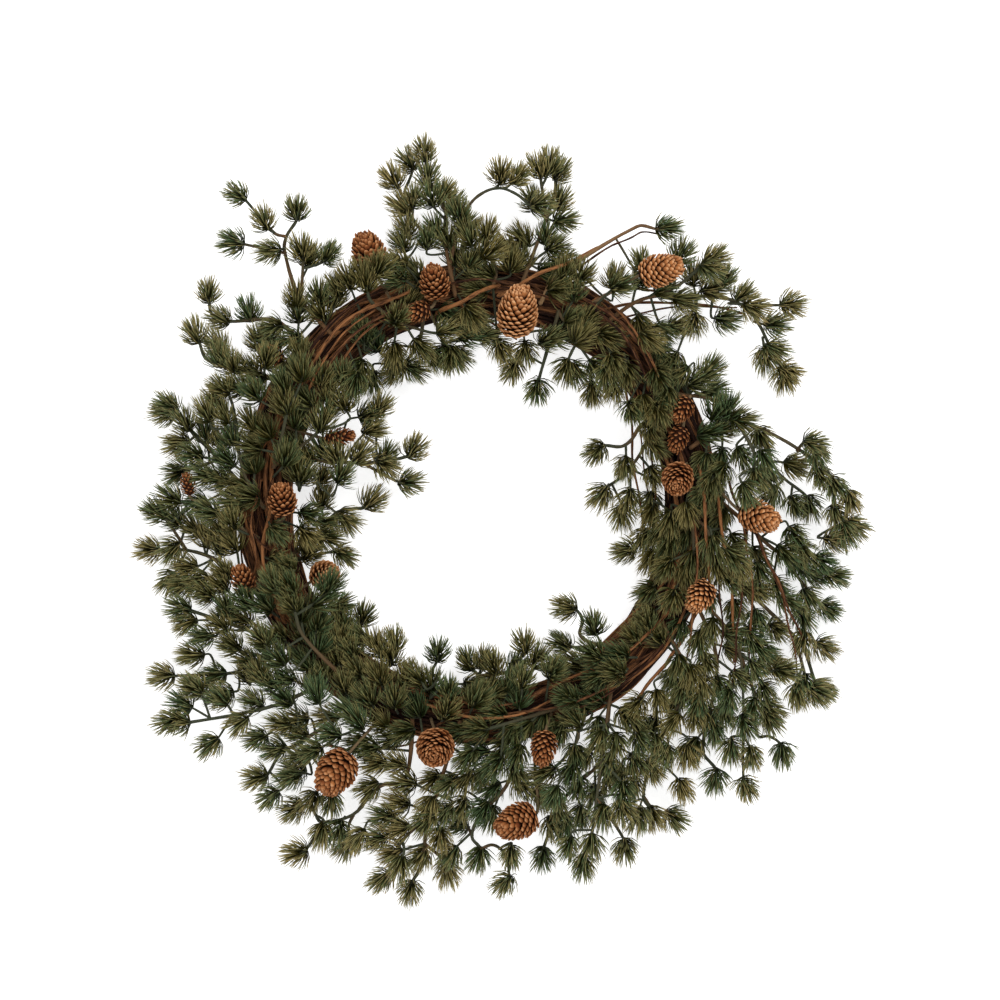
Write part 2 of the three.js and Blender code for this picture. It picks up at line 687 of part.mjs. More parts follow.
// Rings along a path, each half-way round the bend there, with no twist from one to the next.
function pathRings(shell, path, radii, sides, before, after) {
  const line = [before, ...path, after];
  let across = null;
  const rings = path.map((place, i) => {
    const onward = line[i + 2].clone().sub(place).normalize();
    const axis = place.clone().sub(line[i]).normalize().add(onward).normalize();
    if (!across) across = Math.abs(axis.z) < 0.9 ? UP.clone() : new THREE.Vector3(1, 0, 0);
    across.addScaledVector(axis, -across.dot(axis)).normalize();
    return shell.ring(place, axis, across, radii[i], sides);
  });
  rings.slice(1).forEach((ring, i) => shell.band(rings[i], ring));
  return rings;
}

const coneMeshes = Object.entries(CONES).map(([name, { root, cones }]) => {
  const seat = seatNear(onGrid(root));
  let whole = null;
  let from = null;
  cones.forEach((row) => {
    const axis = direction(row.heading, row.tilt);
    const middle = onGrid([row.x, row.y], row.height);
    const base = middle.clone().addScaledVector(axis, -row.length / 2);
    const foot = seat.clone().addScaledVector(UP, ROOT_LENGTH);
    const heel = base.clone().addScaledVector(axis, -STALK_HEEL);
    const bend = (from ?? foot).clone().lerp(heel, 0.5);
    bend.z = Math.max(bend.z, ringTop(bend) + STEM_RISE);
    const inside = base.clone().addScaledVector(axis, STALK_SUNK);
    const path = from ? [from, bend, heel, inside] : [seat, foot, bend, heel, inside];
    const radii = path.slice(1, -1).map((_, i) => (i === 0 && !from ? SEAT_RADIUS : STEM_TIP));
    const parts = [rodSolid(path, radii, STEM_SIDES), coneSolid(row, base, axis)];
    whole = parts.reduce((sum, part) => (sum ? sum.add(part) : part), whole);
    const laid = { piece: name, shoot: name };
    path.slice(1, -2).forEach((a, i) => rods.push({ a, b: path[i + 2], ra: STEM_TIP, rb: STEM_TIP, ...laid }));
    const half = row.width / 2;
    const a = base.clone().addScaledVector(axis, half * 0.6);
    const b = base.clone().addScaledVector(axis, row.length - half * 0.6);
    rods.push({ a, b, ra: half + 1, rb: half, ...laid });
    from = bend;
  });
  return meshOf(name, whole, seat, SCALES);
});

// ---- Sprays ----

const LIFTS = [0, 5, -5, 10, -10, 15, -15, 20, -20, 26, -26, 32, -32, 40];
const NUDGES = [[0, 0], [5, 0], [-5, 0], [0, 5], [0, -5]]; // on the grid

// The first of several ways that has room among all the others, or failing that, among the other
// sprays' pieces.
function choose(ways, rodsOf, shoot, parent) {
  const roomy = (matters) => ways.find((way) => rodsOf(way).every((rod) => hasRoom(rod, matters)));
  const strict = roomy((other) => other.shoot !== parent);
  const way = strict ?? roomy((other) => other.piece !== shoot.piece);
  if (!way) throw new Error(`${shoot.piece} has no room for shoot ${shoot.shoot}`);
  return way;
}

// The direction of the tuft at the end of a path: its own, but no sharper a turn than tufts make.
function tuftAxis(path, axis) {
  const along = path.at(-1).clone().sub(path.at(-2)).normalize();
  const turn = along.angleTo(axis);
  if (turn <= TUFT_TURN) return axis;
  return along.applyAxisAngle(along.clone().cross(axis).normalize(), TUFT_TURN);
}

// The rods of a shoot: its stretches and the middle of its tuft.
function shootRods(path, radii, axis, shoot) {
  const tip = path.at(-1);
  const ahead = tip.clone().addScaledVector(tuftAxis(path, axis), HEART_LENGTH);
  const heart = { a: tip, b: ahead, ra: CORE_RADIUS, rb: HEART_RADIUS };
  const stretches = path.slice(1).map((b, i) => {
    return { a: path[i], b, ra: radii[i], rb: radii[i + 1], early: i < path.length - 2 };
  });
  return [...stretches, heart].map((rod) => ({ ...rod, ...shoot }));
}

// Lifts the joints of a path until each stretch clears the bundle of canes.
function clearOfRing(path) {
  path.slice(1).forEach((b, i) => {
    const a = path[i];
    const short = Math.max(...[0, 0.25, 0.5, 0.75, 1].map((share) => {
      const place = a.clone().lerp(b, share);
      return ringTop(place) + STEM_RISE - place.z;
    }));
    if (short > 0) {
      b.z += short;
      if (i > 0) a.z += short;
    }
  });
  return path;
}

// The places of a path but for those that bend it by less than `least`.
function plainer(places, least) {
  return places.filter((place, i) => {
    if (i === 0 || i === places.length - 1) return true;
    const before = places[i - 1];
    const chord = places[i + 1].clone().sub(before);
    const share = place.clone().sub(before).dot(chord) / chord.lengthSq();
    return place.distanceTo(before.clone().addScaledVector(chord, share)) > least;
  });
}

// A stem's path from its start over its places, rising evenly to its height at the tip.
function stemPath(start, places, height) {
  const flat = plainer(places.map((place) => onGrid(place)), LEAST_BEND);
  const lengths = [0];
  flat.slice(1).forEach((place, i) => lengths.push(lengths[i] + place.distanceTo(flat[i])));
  flat.forEach((place, i) => place.setZ(THREE.MathUtils.lerp(start.z, height, lengths[i] / lengths.at(-1))));
  flat[0].copy(start);
  return clearOfRing(flat);
}

// The point of some stems, in quarters of their stretches, that is nearest to a place from above.
function nearestOn(stems, place) {
  const points = stems.flatMap(({ path, first, shoot }) => path.slice(first ? 2 : 1).flatMap((b, i) => {
    const a = path[i + (first ? 1 : 0)];
    return [0.25, 0.5, 0.75, 0.96].map((share) => ({ point: a.clone().lerp(b, share), shoot }));
  }));
  const away = ({ point }) => Math.hypot(point.x - place.x, point.y - place.y);
  return points.reduce((best, row) => (away(row) < away(best) ? row : best));
}

let shootCount = 0;

// Lays a spray's stems: the first from its seat on the canes, the others from forks or its foot.
function layStems(piece, { stems }) {
  const laid = [];
  const seat = seatNear(onGrid(stems[0].path[0]));
  const foot = seat.clone().setZ(ringTop(seat) + STEM_RISE);
  stems.forEach(({ heading, height, path: places }, i) => {
    shootCount += 1;
    const shoot = { piece, shoot: shootCount };
    const draw = drawsFrom(shootCount);
    const first = i === 0;
    const rooted = places[0].join() === stems[0].path[0].join();
    const fork = rooted ? { point: foot, shoot: laid[0]?.shoot } : nearestOn(laid, onGrid(places[0]));
    const thick = first ? STEM_ROOT : STEM_TIP;
    const axis = direction(heading, 5 + 20 * draw());
    const levels = LIFTS.map((lift) => height + lift).filter((level) => level > 10 && level < 90);
    const ways = NUDGES.flatMap(([x, y]) => levels.map((level) => {
      const moved = places.map((place) => [place[0] + x, place[1] + y]);
      return [...(first ? [seat] : []), ...stemPath(fork.point, moved, level)];
    }));
    const radii = ways[0].map((_, k) => THREE.MathUtils.lerp(thick, STEM_TIP, k / ways[0].length));
    if (first) radii[0] = SEAT_RADIUS;
    const rodsOf = (path) => shootRods(path, radii, axis, shoot).slice(first ? 1 : 0);
    const path = choose(ways, rodsOf, shoot, fork.shoot);
    rods.push(...rodsOf(path));
    laid.push({ path, radii, axis: tuftAxis(path, axis), first, shoot: shootCount });
  });
  return { seat, laid };
}

// Lays the twig of one tuft, from the nearest stem to the tuft's base.
function layTwig(piece, laid, [x, y, heading]) {
  shootCount += 1;
  const shoot = { piece, shoot: shootCount };
  const draw = drawsFrom(shootCount);
  const axis = direction(heading, -5 + 35 * draw());
  const fork = nearestOn(laid, onGrid([x, y]).addScaledVector(direction(heading, 0), -TWIG_REACH));
  const drop = -4 + 12 * draw();
  const levels = LIFTS.map((lift) => fork.point.z + drop + lift).filter((level) => level > 8 && level < 94);
  const radii = [TWIG_RADIUS, TWIG_RADIUS, TWIG_RADIUS];
  const ways = NUDGES.flatMap(([right, down]) => levels.map((level) => {
    const base = onGrid([x + right, y + down], level);
    const run = base.clone().sub(fork.point);
    if (run.angleTo(axis) < 45 * DEGREE) return clearOfRing([fork.point.clone(), base]);
    const bend = base.clone().addScaledVector(axis, -0.35 * run.length());
    return clearOfRing([fork.point.clone(), bend, base]);
  }));
  const rodsOf = (path) => shootRods(path, radii, axis, shoot);
  const path = choose(ways, rodsOf, shoot, fork.shoot);
  rods.push(...rodsOf(path));
  return { path, radii, axis: tuftAxis(path, axis), shoot: shootCount };
}

const sprayPlans = Object.entries(SPRAYS).map(([name, rows]) => {
  const piece = `spray_${name}`;
  return { piece, rows, ...layStems(piece, rows) };
});
sprayPlans.forEach((plan) => {
  plan.twigs = plan.rows.tufts.map((row) => layTwig(plan.piece, plan.laid, row));
});

// Needles in one tuft, as [fewest faces from the base ring, spread from the axis in degrees].
const BASE_SPREAD = [52, 43];
const UPPER_SPREAD = [31, 19];

// One shoot: a stem or twig that starts in a point and ends in a tuft, whose core swells from the
// shoot's last ring. Each face of the core is raised to a needle where a needle has room.
function shootSolid({ path, radii, axis, shoot }, piece, full) {
  const sides = STEM_SIDES;
  const shell = new Shell();
  const draw = drawsFrom(1000 + shoot);
  const [root, next] = path;
  const base = path.at(-1);
  const start = root.clone().lerp(next, Math.min(0.45, ROOT_LENGTH / root.distanceTo(next)));
  const after = base.clone().addScaledVector(axis, 5);
  const rings = pathRings(shell, [start, ...path.slice(1)], radii, sides, root, after);
  shell.fan(rings[0], shell.point(root), false);
  const last = rings.at(-1).map((i) => shell.points[i]);
  const across = last[0].clone().sub(base);
  const swell = base.clone().addScaledVector(axis, CORE_STEP);
  const middle = shell.ring(swell, axis, across, CORE_RADIUS, sides, 0.5);
  const needles = [];
  shell.band(rings.at(-1), middle).forEach((face, i) => needles.push([face, BASE_SPREAD[i % 2]]));
  let top = middle;
  if (full) {
    const crown = base.clone().addScaledVector(axis, 2 * CORE_STEP);
    top = shell.ring(crown, axis, across, CORE_RADIUS * 0.8, sides, 1);
    shell.band(middle, top).forEach((face, i) => needles.push([face, UPPER_SPREAD[i % 2]]));
  }
  shell.fan(top, shell.point(base.clone().addScaledVector(axis, NEEDLE_LENGTH)));
  needles.forEach(([face, spread]) => {
    const foot = shell.centroid(face);
    const along = foot.clone().sub(base).dot(axis);
    const radial = foot.clone().sub(base).addScaledVector(axis, -along).normalize();
    const sideways = new THREE.Vector3().crossVectors(axis, radial);
    for (let attempt = 0; attempt < 4; attempt += 1) {
      const angle = (spread + 12 * (draw() - 0.5)) * DEGREE;
      const swing = 16 * (draw() - 0.5) * DEGREE;
      const reach = NEEDLE_LENGTH * (0.88 + 0.24 * draw()) * (1 - 0.12 * attempt);
      const way = axis.clone().multiplyScalar(Math.cos(angle));
      way.addScaledVector(radial, Math.sin(angle) * Math.cos(swing));
      way.addScaledVector(sideways, Math.sin(angle) * Math.sin(swing));
      const apex = foot.clone().addScaledVector(way, reach);
      const rod = { a: foot, b: apex, ra: NEEDLE_ROOT, rb: NEEDLE_TIP, piece, shoot };
      if (hasRoom(rod, (other) => other.shoot !== shoot || other.early)) {
        rods.push(rod);
        shell.raise(face, apex);
        return;
      }
    }
  });
  return shell.solid();
}

const sprayMeshes = sprayPlans.map(({ piece, seat, laid, twigs }) => {
  const stems = laid.map((row) => shootSolid(row, piece, true));
  const rest = twigs.map((row) => shootSolid(row, piece, false));
  const whole = [...stems, ...rest].reduce((sum, part) => sum.add(part));
  return meshOf(piece, whole, seat, FOLIAGE);
});

const wreath = new THREE.Group();
wreath.name = "evergreen_wreath";
wreath.add(...caneMeshes, ...coneMeshes, ...sprayMeshes);

export default wreath;
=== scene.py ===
"""A fresh evergreen wreath, lying on its back: a ring of wound vine canes, dressed with branching
evergreen sprays whose twigs end in tufts of fine needles, and with small woody cones on stalks.

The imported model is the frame. Each of its sprays, cones and canes is replaced by a finer piece that
is laid by the same rule, so that it stays where its node is. +X is the wreath's right, +Y its top
and +Z its front. Lengths are millimetres until a piece is made, and metres from there on.
"""

import itertools
import math

import bpy
import numpy as np
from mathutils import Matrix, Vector
from mathutils.bvhtree import BVHTree


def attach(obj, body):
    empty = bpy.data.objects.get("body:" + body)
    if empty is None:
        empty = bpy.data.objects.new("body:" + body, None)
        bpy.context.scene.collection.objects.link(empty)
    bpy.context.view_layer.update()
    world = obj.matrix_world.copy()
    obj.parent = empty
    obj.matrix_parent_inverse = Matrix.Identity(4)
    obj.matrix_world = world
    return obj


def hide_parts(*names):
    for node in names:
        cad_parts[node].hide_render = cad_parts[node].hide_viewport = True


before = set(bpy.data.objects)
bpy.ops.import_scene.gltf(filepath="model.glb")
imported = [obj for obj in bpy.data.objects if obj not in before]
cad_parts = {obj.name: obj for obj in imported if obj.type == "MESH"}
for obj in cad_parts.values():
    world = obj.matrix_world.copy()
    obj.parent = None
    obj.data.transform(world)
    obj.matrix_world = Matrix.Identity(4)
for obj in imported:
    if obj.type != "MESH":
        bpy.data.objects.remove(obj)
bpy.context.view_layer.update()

MM = 0.001
TURN = 2 * math.pi
GOLDEN_TURN = math.radians(137.508)
UP = np.array([0.0, 0.0, 1.0])
CANES = ("vine_cane_1", "vine_cane_2", "vine_cane_3")

# ---- The layout ----

# It is drawn on a square grid, counted to the right and down.
GRID = 0.85  # side of one square
GRID_MIDDLE = (500, 521)  # the grid point above the origin

# The ring: a rounded bundle of canes about a middle line
RING_MIDDLE = (478, 503)  # on the grid
RING_RADIUS = 181.0
RING_SPAN = 23.25  # from the middle line to the outside of the bundle
RING_HEIGHT = 21.1518  # of the middle line above the surface

# Each spray is one branching piece: its stems, then its tufts. A stem is its tuft's heading in
# degrees and height above the surface, and the grid points that it runs through from its root or
# fork to that tuft. The other tufts, (across, down, heading), are on twigs from the nearest stem.
SPRAYS = {
    "upper_left_corner": ([
        (97, 50, (322, 322), (301, 298), (292, 272), (286, 252), (288, 237), (299, 219)),
        (150, 60, (288, 237), (276, 234), (266, 226), (256, 213), (246, 200)),
        (170, 40, (286, 252), (272, 247), (258, 245), (243, 244)),
        (100, 64, (301, 298), (302, 280), (305, 260)),
    ], [
        (269, 229, 112), (280, 251, 190), (298, 306, 93), (327, 262, 55), (341, 295, 108),
    ]),
    "upper_left": ([
        (93, 34, (294, 336), (282, 323), (268, 319), (250, 320), (228, 321), (213, 314),
         (210, 300)),
    ], [
        (252, 319, 105), (228, 322, 150), (281, 326, 200),
    ]),
    "left_shoulder": ([
        (115, 56, (290, 392), (280, 380), (267, 377), (250, 376), (230, 370), (211, 361),
         (201, 341)),
    ], [
        (223, 364, 100), (256, 373, 150), (266, 379, 200),
    ]),
    "left_outer": ([
        (180, 28, (258, 506), (240, 482), (222, 457), (205, 438), (190, 424), (173, 412)),
        (190, 18, (222, 457), (208, 464), (186, 470)),
        (145, 66, (258, 506), (245, 470), (240, 440), (237, 412), (230, 392)),
    ], [
        (176, 408, 148), (190, 428, 118), (188, 441, 192), (202, 456, 165), (229, 480, 165),
        (230, 421, 115),
    ]),
    "left_middle": ([
        (178, 26, (262, 592), (240, 573), (214, 557), (186, 549), (157, 549)),
        (150, 42, (186, 549), (175, 532), (165, 515)),
    ], [
        (200, 532, 140), (196, 566, 182), (191, 582, 192), (225, 536, 115),
    ]),
    "left_low": ([
        (168, 44, (290, 664), (255, 642), (232, 628), (210, 616), (190, 608)),
        (180, 20, (290, 664), (262, 668), (232, 667), (205, 666), (188, 669), (172, 675)),
    ], [
        (196, 619, 195), (213, 634, 185), (230, 612, 110), (203, 653, 178), (207, 684, 180),
        (250, 679, 100),
    ]),
    "left_foot": ([
        (175, 54, (312, 704), (280, 702), (248, 708), (218, 714), (190, 720)),
    ], [
        (219, 737, 215), (248, 716, 215), (262, 702, 150), (290, 722, 175),
    ]),
    "bottom_left": ([
        (178, 30, (350, 733), (320, 736), (298, 742), (281, 752), (272, 764), (266, 775)),
    ], [
        (283, 746, 190), (277, 790, 215), (303, 770, 172), (316, 792, 238),
    ]),
    "bottom_left_long": ([
        (220, 30, (408, 730), (410, 760), (402, 780), (385, 782), (372, 791), (354, 812),
         (322, 820), (313, 808), (301, 804)),
        (190, 44, (322, 820), (315, 836), (306, 848)),
        (225, 16, (354, 812), (349, 824), (350, 838)),
    ], [
        (324, 823, 262), (332, 792, 268),
    ]),
    "bottom_near": ([
        (262, 44, (458, 738), (443, 785), (430, 815), (426, 842), (420, 866), (412, 880)),
        (220, 58, (430, 815), (414, 826), (400, 842), (388, 870)),
        (262, 28, (426, 842), (438, 852), (447, 862)),
    ], [
        (408, 801, 172), (408, 825, 187), (432, 796, 250), (401, 847, 200), (425, 848, 232),
        (441, 827, 262), (364, 828, 235),
    ]),
    "bottom_middle": ([
        (235, 40, (522, 738), (508, 780), (491, 800), (480, 813), (472, 834), (481, 847)),
        (225, 56, (481, 847), (493, 842), (504, 850), (509, 873)),
        (200, 26, (472, 834), (466, 824)),
    ], [
        (511, 844, 268), (465, 797, 250), (486, 801, 230),
    ]),
    "bottom_fringe": ([
        (265, 26, (632, 712), (600, 758), (576, 782), (560, 804), (550, 828), (543, 848)),
        (268, 58, (632, 712), (612, 765), (604, 788), (598, 812), (591, 832)),
        (268, 44, (604, 788), (615, 812), (624, 838)),
    ], [
        (566, 816, 262), (556, 800, 285), (583, 853, 268), (603, 803, 262), (638, 806, 262),
        (622, 781, 270),
    ]),
    "bottom_right": ([
        (290, 34, (706, 650), (690, 685), (672, 712), (660, 740), (648, 768), (643, 796),
         (650, 807)),
        (320, 20, (643, 796), (656, 811), (667, 812)),
    ], [
        (679, 779, 290), (686, 744, 272), (634, 776, 255), (667, 745, 250),
    ]),
    "lower_right": ([
        (262, 30, (716, 596), (716, 660), (707, 710), (702, 748), (711, 759), (716, 769)),
        (290, 62, (716, 596), (734, 640), (741, 690), (742, 745), (741, 776)),
        (238, 44, (734, 640), (752, 690), (756, 733), (768, 734), (780, 743)),
    ], [
        (705, 706, 280), (696, 738, 250), (729, 738, 270), (748, 745, 275), (763, 702, 320),
        (728, 690, 260), (750, 660, 300),
    ]),
    "right_low": ([
        (322, 26, (716, 548), (752, 590), (780, 618), (798, 640), (808, 660), (816, 683)),
        (268, 48, (798, 640), (803, 658), (803, 674)),
    ], [
        (803, 632, 262), (817, 642, 330), (770, 624, 325), (764, 655, 320),
    ]),
    "right_middle": ([
        (345, 40, (716, 486), (742, 520), (778, 552), (810, 560), (827, 573)),
        (335, 22, (778, 552), (800, 582), (822, 605)),
    ], [
        (803, 590, 300), (791, 560, 320), (814, 556, 330), (788, 528, 305), (800, 610, 290),
    ]),
    "right_tip": ([
        (345, 40, (700, 444), (722, 424), (745, 422), (766, 433), (790, 444), (812, 459),
         (832, 479), (843, 495), (846, 521)),
        (350, 56, (790, 444), (803, 441)),
        (268, 24, (766, 433), (776, 470), (790, 482), (808, 497)),
    ], [
        (785, 462, 345), (815, 468, 292), (830, 478, 290), (841, 524, 285), (812, 446, 290),
        (825, 537, 350), (756, 430, 292),
    ]),
    "right_upper": ([
        (280, 66, (692, 386), (716, 402), (735, 425), (750, 448), (752, 470)),
    ], [
        (703, 375, 45), (704, 392, 5), (724, 415, 80), (733, 419, 350), (758, 452, 290),
        (656, 346, 300),
    ]),
    "upper_right": ([
        (335, 44, (606, 320), (640, 300), (680, 296), (718, 300), (742, 306), (753, 322),
         (763, 342), (780, 368)),
        (0, 60, (742, 306), (766, 307), (780, 306)),
        (25, 66, (640, 300), (674, 288), (692, 274), (705, 263)),
    ], [
        (702, 291, 5), (765, 325, 5), (766, 346, 330), (763, 350, 278), (781, 370, 280),
        (676, 262, 60), (701, 268, 330), (716, 318, 350),
    ]),
    "arch": ([
        (5, 62, (542, 298), (554, 280), (572, 267), (600, 250), (617, 240), (636, 228), (657, 231)),
    ], [
        (612, 287, 80), (641, 271, 100), (578, 283, 65),
    ]),
    "top_right": ([
        (65, 36, (522, 280), (526, 268), (536, 246), (546, 218), (554, 196), (556, 178)),
        (100, 54, (546, 218), (541, 200), (540, 178)),
    ], [
        (535, 207, 115), (557, 208, 70), (527, 244, 135), (548, 251, 20), (522, 268, 100),
    ]),
    "top_left": ([
        (100, 44, (456, 300), (450, 268), (445, 240), (446, 214), (438, 194), (428, 178),
         (426, 160)),
        (185, 30, (445, 240), (424, 232), (409, 214), (404, 196), (411, 180), (413, 168)),
        (40, 64, (450, 268), (458, 232), (470, 206), (484, 194), (500, 190), (516, 196),
         (532, 208)),
    ], [
        (428, 184, 88), (408, 212, 132), (433, 206, 95), (448, 212, 60), (460, 233, 45),
        (405, 250, 110), (428, 248, 90), (456, 264, 85), (420, 283, 138), (500, 184, 85),
    ]),
    "top_middle": ([
        (85, 60, (492, 286), (496, 272), (489, 254), (486, 243)),
    ], [
        (510, 270, 88), (474, 276, 110),
    ]),
    "ring_top": ([
        (90, 70, (398, 334), (386, 314), (372, 302), (369, 291)),
        (20, 62, (398, 334), (420, 330), (440, 334)),
    ], [
        (408, 306, 60), (365, 340, 100), (395, 345, 270), (455, 322, 350),
    ]),
    "inner_top": ([
        (262, 40, (560, 308), (550, 340), (543, 364), (538, 381)),
        (320, 56, (560, 308), (572, 335), (590, 362)),
    ], [
        (515, 362, 250), (525, 344, 268), (567, 362, 258), (591, 384, 272), (566, 322, 25),
        (600, 335, 345),
    ]),
    "inner_top_left": ([
        (215, 30, (428, 316), (420, 340), (410, 356), (400, 368)),
        (292, 46, (428, 316), (440, 332), (444, 347)),
    ], [
        (408, 366, 335), (452, 350, 318), (395, 352, 262),
    ]),
    "inner_left": ([
        (78, 40, (318, 466), (342, 462), (366, 462), (392, 456), (410, 455)),
        (5, 24, (366, 462), (388, 474), (401, 482)),
    ], [
        (362, 416, 20), (366, 432, 20), (382, 462, 62), (380, 462, 330),
    ]),
    "inner_left_low": ([
        (45, 26, (286, 560), (314, 538), (338, 511), (367, 506)),
        (330, 44, (286, 560), (314, 556), (338, 550)),
    ], [
        (322, 536, 350), (340, 513, 320), (322, 505, 80),
    ]),
    "inner_foot": ([
        (75, 34, (318, 656), (344, 636), (362, 622)),
        (100, 54, (360, 700), (374, 674), (388, 662), (397, 646)),
    ], [
        (334, 606, 20), (380, 651, 110), (405, 681, 78), (340, 660, 100),
    ]),
    "inner_bottom": ([
        (112, 30, (508, 708), (490, 697), (474, 688), (478, 674), (471, 667)),
        (100, 48, (478, 674), (496, 669), (509, 669), (518, 659), (525, 649)),
        (85, 40, (474, 688), (456, 686), (444, 680), (433, 672), (438, 658)),
    ], [
        (482, 665, 72), (534, 664, 65), (490, 692, 40), (432, 690, 85),
    ]),
    "inner_bottom_right": ([
        (178, 38, (660, 648), (627, 643), (600, 643), (580, 634), (582, 618), (574, 607)),
        (150, 24, (600, 643), (584, 646), (568, 646)),
    ], [
        (595, 631, 105), (582, 664, 165),
    ]),
    "inner_right": ([
        (228, 44, (662, 408), (640, 425), (630, 440), (620, 446), (601, 445)),
        (235, 28, (662, 408), (642, 445), (628, 470), (606, 487)),
    ], [
        (625, 458, 262), (630, 490, 262), (622, 506, 268),
    ]),
    "inner_right_low": ([
        (192, 30, (668, 504), (652, 524), (644, 538), (633, 548)),
        (215, 46, (668, 504), (664, 548), (652, 586)),
    ], [
        (645, 530, 255), (652, 610, 220), (664, 560, 240),
    ]),
    "ring_left": ([
        (110, 66, (300, 470), (294, 440), (290, 412)),
        (80, 58, (300, 470), (314, 448), (322, 430)),
    ], [
        (262, 400, 130), (300, 478, 95), (272, 436, 130), (340, 480, 60), (330, 400, 80),
        (305, 380, 100),
    ]),
    "ring_foot": ([
        (120, 60, (340, 690), (318, 660), (300, 632), (292, 606)),
        (170, 66, (340, 690), (360, 712), (356, 726), (340, 732)),
    ], [
        (268, 640, 125), (318, 628, 75), (286, 660, 130), (320, 698, 100), (372, 700, 120),
        (330, 590, 60),
    ]),
    "ring_bottom": ([
        (180, 64, (560, 712), (530, 716), (505, 722), (486, 726)),
        (200, 58, (560, 712), (578, 730), (566, 752), (552, 766)),
    ], [
        (420, 712, 110), (462, 728, 200), (500, 756, 230), (520, 744, 250), (585, 708, 150),
        (600, 730, 250),
    ]),
    "ring_right": ([
        (270, 62, (690, 514), (692, 532), (692, 552)),
        (285, 66, (690, 514), (706, 530), (712, 556)),
    ], [
        (670, 512, 260), (735, 560, 285), (730, 535, 300), (668, 560, 230),
    ]),
}

# Each cone node is one stalk, rooted on the ring at a grid point, with one or two cones. A cone is
# its middle's grid place and height above the surface, its heading and its tilt towards the front,
# both in degrees, and its length and width.
CONES = {
    "cone_top": [(506, 304), (518, 311, 78, 80, 35, 47, 34)],
    "cone_top_right": [(592, 290), (660, 272, 84, 15, 10, 38, 28)],
    "cone_top_left": [(392, 300), (370, 254, 64, 110, 20, 36, 30)],
    "cone_pair_top": [(440, 300), (435, 283, 66, 100, 30, 30, 26), (418, 313, 64, 200, 15, 22, 18)],
    "cone_left_shoulder": [(298, 362), (272, 355, 58, 165, 10, 22, 18)],
    "cone_left": [(256, 536), (190, 482, 50, 100, 10, 20, 14)],
    "cone_left_front": [(270, 528), (285, 498, 76, 95, 25, 28, 25)],
    "cone_inner_left": [(290, 596), (327, 573, 58, 20, 60, 28, 25)],
    "cone_left_low": [(266, 572), (245, 577, 60, 110, 15, 27, 21)],
    "cone_bottom_left": [(386, 712), (337, 769, 74, 235, 20, 40, 34)],
    "cone_bottom": [(432, 716), (436, 744, 78, 260, 65, 34, 32)],
    "cone_bottom_middle": [(556, 722), (543, 746, 66, 262, 25, 32, 23)],
    "cone_bottom_right": [(534, 724), (516, 818, 62, 205, 20, 36, 31)],
    "cone_pair_right": [
        (700, 400), (679, 410, 66, 235, 20, 24, 20), (676, 440, 62, 250, 15, 24, 18),
    ],
    "cone_inner_right": [(690, 462), (675, 479, 78, 255, 60, 30, 27)],
    "cone_right": [(706, 466), (757, 516, 72, 340, 15, 36, 28)],
    "cone_right_low": [(708, 566), (697, 595, 74, 235, 25, 30, 24)],
    "cone_inner_shade": [(320, 440), (343, 436, 54, 5, 15, 28, 17)],
}

# More tufts, (across, down, heading) as above, each on the nearest stem of any spray
FULLER = [
    (236, 370, 120), (208, 440, 98), (256, 470, 110), (230, 575, 130), (240, 646, 150),
    (232, 690, 195), (228, 700, 150), (322, 745, 200), (385, 760, 180), (403, 854, 255),
    (470, 770, 235), (570, 835, 255), (655, 735, 280), (716, 676, 285), (745, 628, 300),
    (772, 580, 300), (846, 492, 285), (766, 470, 275), (670, 325, 355), (744, 306, 338),
    (556, 222, 5), (470, 266, 60), (352, 395, 80), (356, 460, 50), (641, 398, 275), (672, 590, 250),
    (648, 628, 110), (680, 620, 250), (397, 186, 120), (414, 206, 80), (441, 200, 60),
    (513, 184, 50), (549, 172, 85), (460, 222, 100), (449, 246, 110), (430, 262, 70),
    (310, 266, 80), (352, 288, 100), (224, 350, 130), (280, 346, 170), (378, 412, 60),
    (451, 350, 275), (832, 506, 290), (545, 242, 80), (694, 316, 260), (720, 286, 60),
    (736, 300, 40), (692, 284, 90), (764, 712, 300), (752, 698, 260), (694, 708, 270),
    (722, 704, 280), (808, 686, 330), (794, 684, 280), (192, 704, 160), (178, 716, 200),
    (202, 688, 150), (298, 772, 200), (494, 806, 250), (304, 512, 350), (268, 366, 80),
    (262, 348, 100), (364, 284, 100), (378, 276, 60), (238, 548, 120), (228, 588, 140),
    (752, 548, 300), (710, 590, 250), (656, 690, 280), (615, 732, 270), (612, 290, 20),
    (636, 286, 50), (656, 292, 30), (674, 300, 350), (572, 366, 300), (303, 482, 70),
]

# The foliage between the tufts above is filled in evenly. How far it reaches from the middle of the
# ring, on the grid, at every 15 degrees of heading, outwards and inwards:
OUTER_REACH = (
    324, 272, 246, 252, 232, 262, 256, 284, 256, 262, 266, 294, 310, 314, 322, 314, 338, 359, 344,
    339, 330, 334, 344, 346,
)
INNER_REACH = (
    170, 172, 176, 182, 172, 156, 164, 158, 164, 156, 146, 136, 140, 164, 172, 170, 170, 164, 162,
    162, 170, 196, 190, 178,
)
REACH_STEP = 15

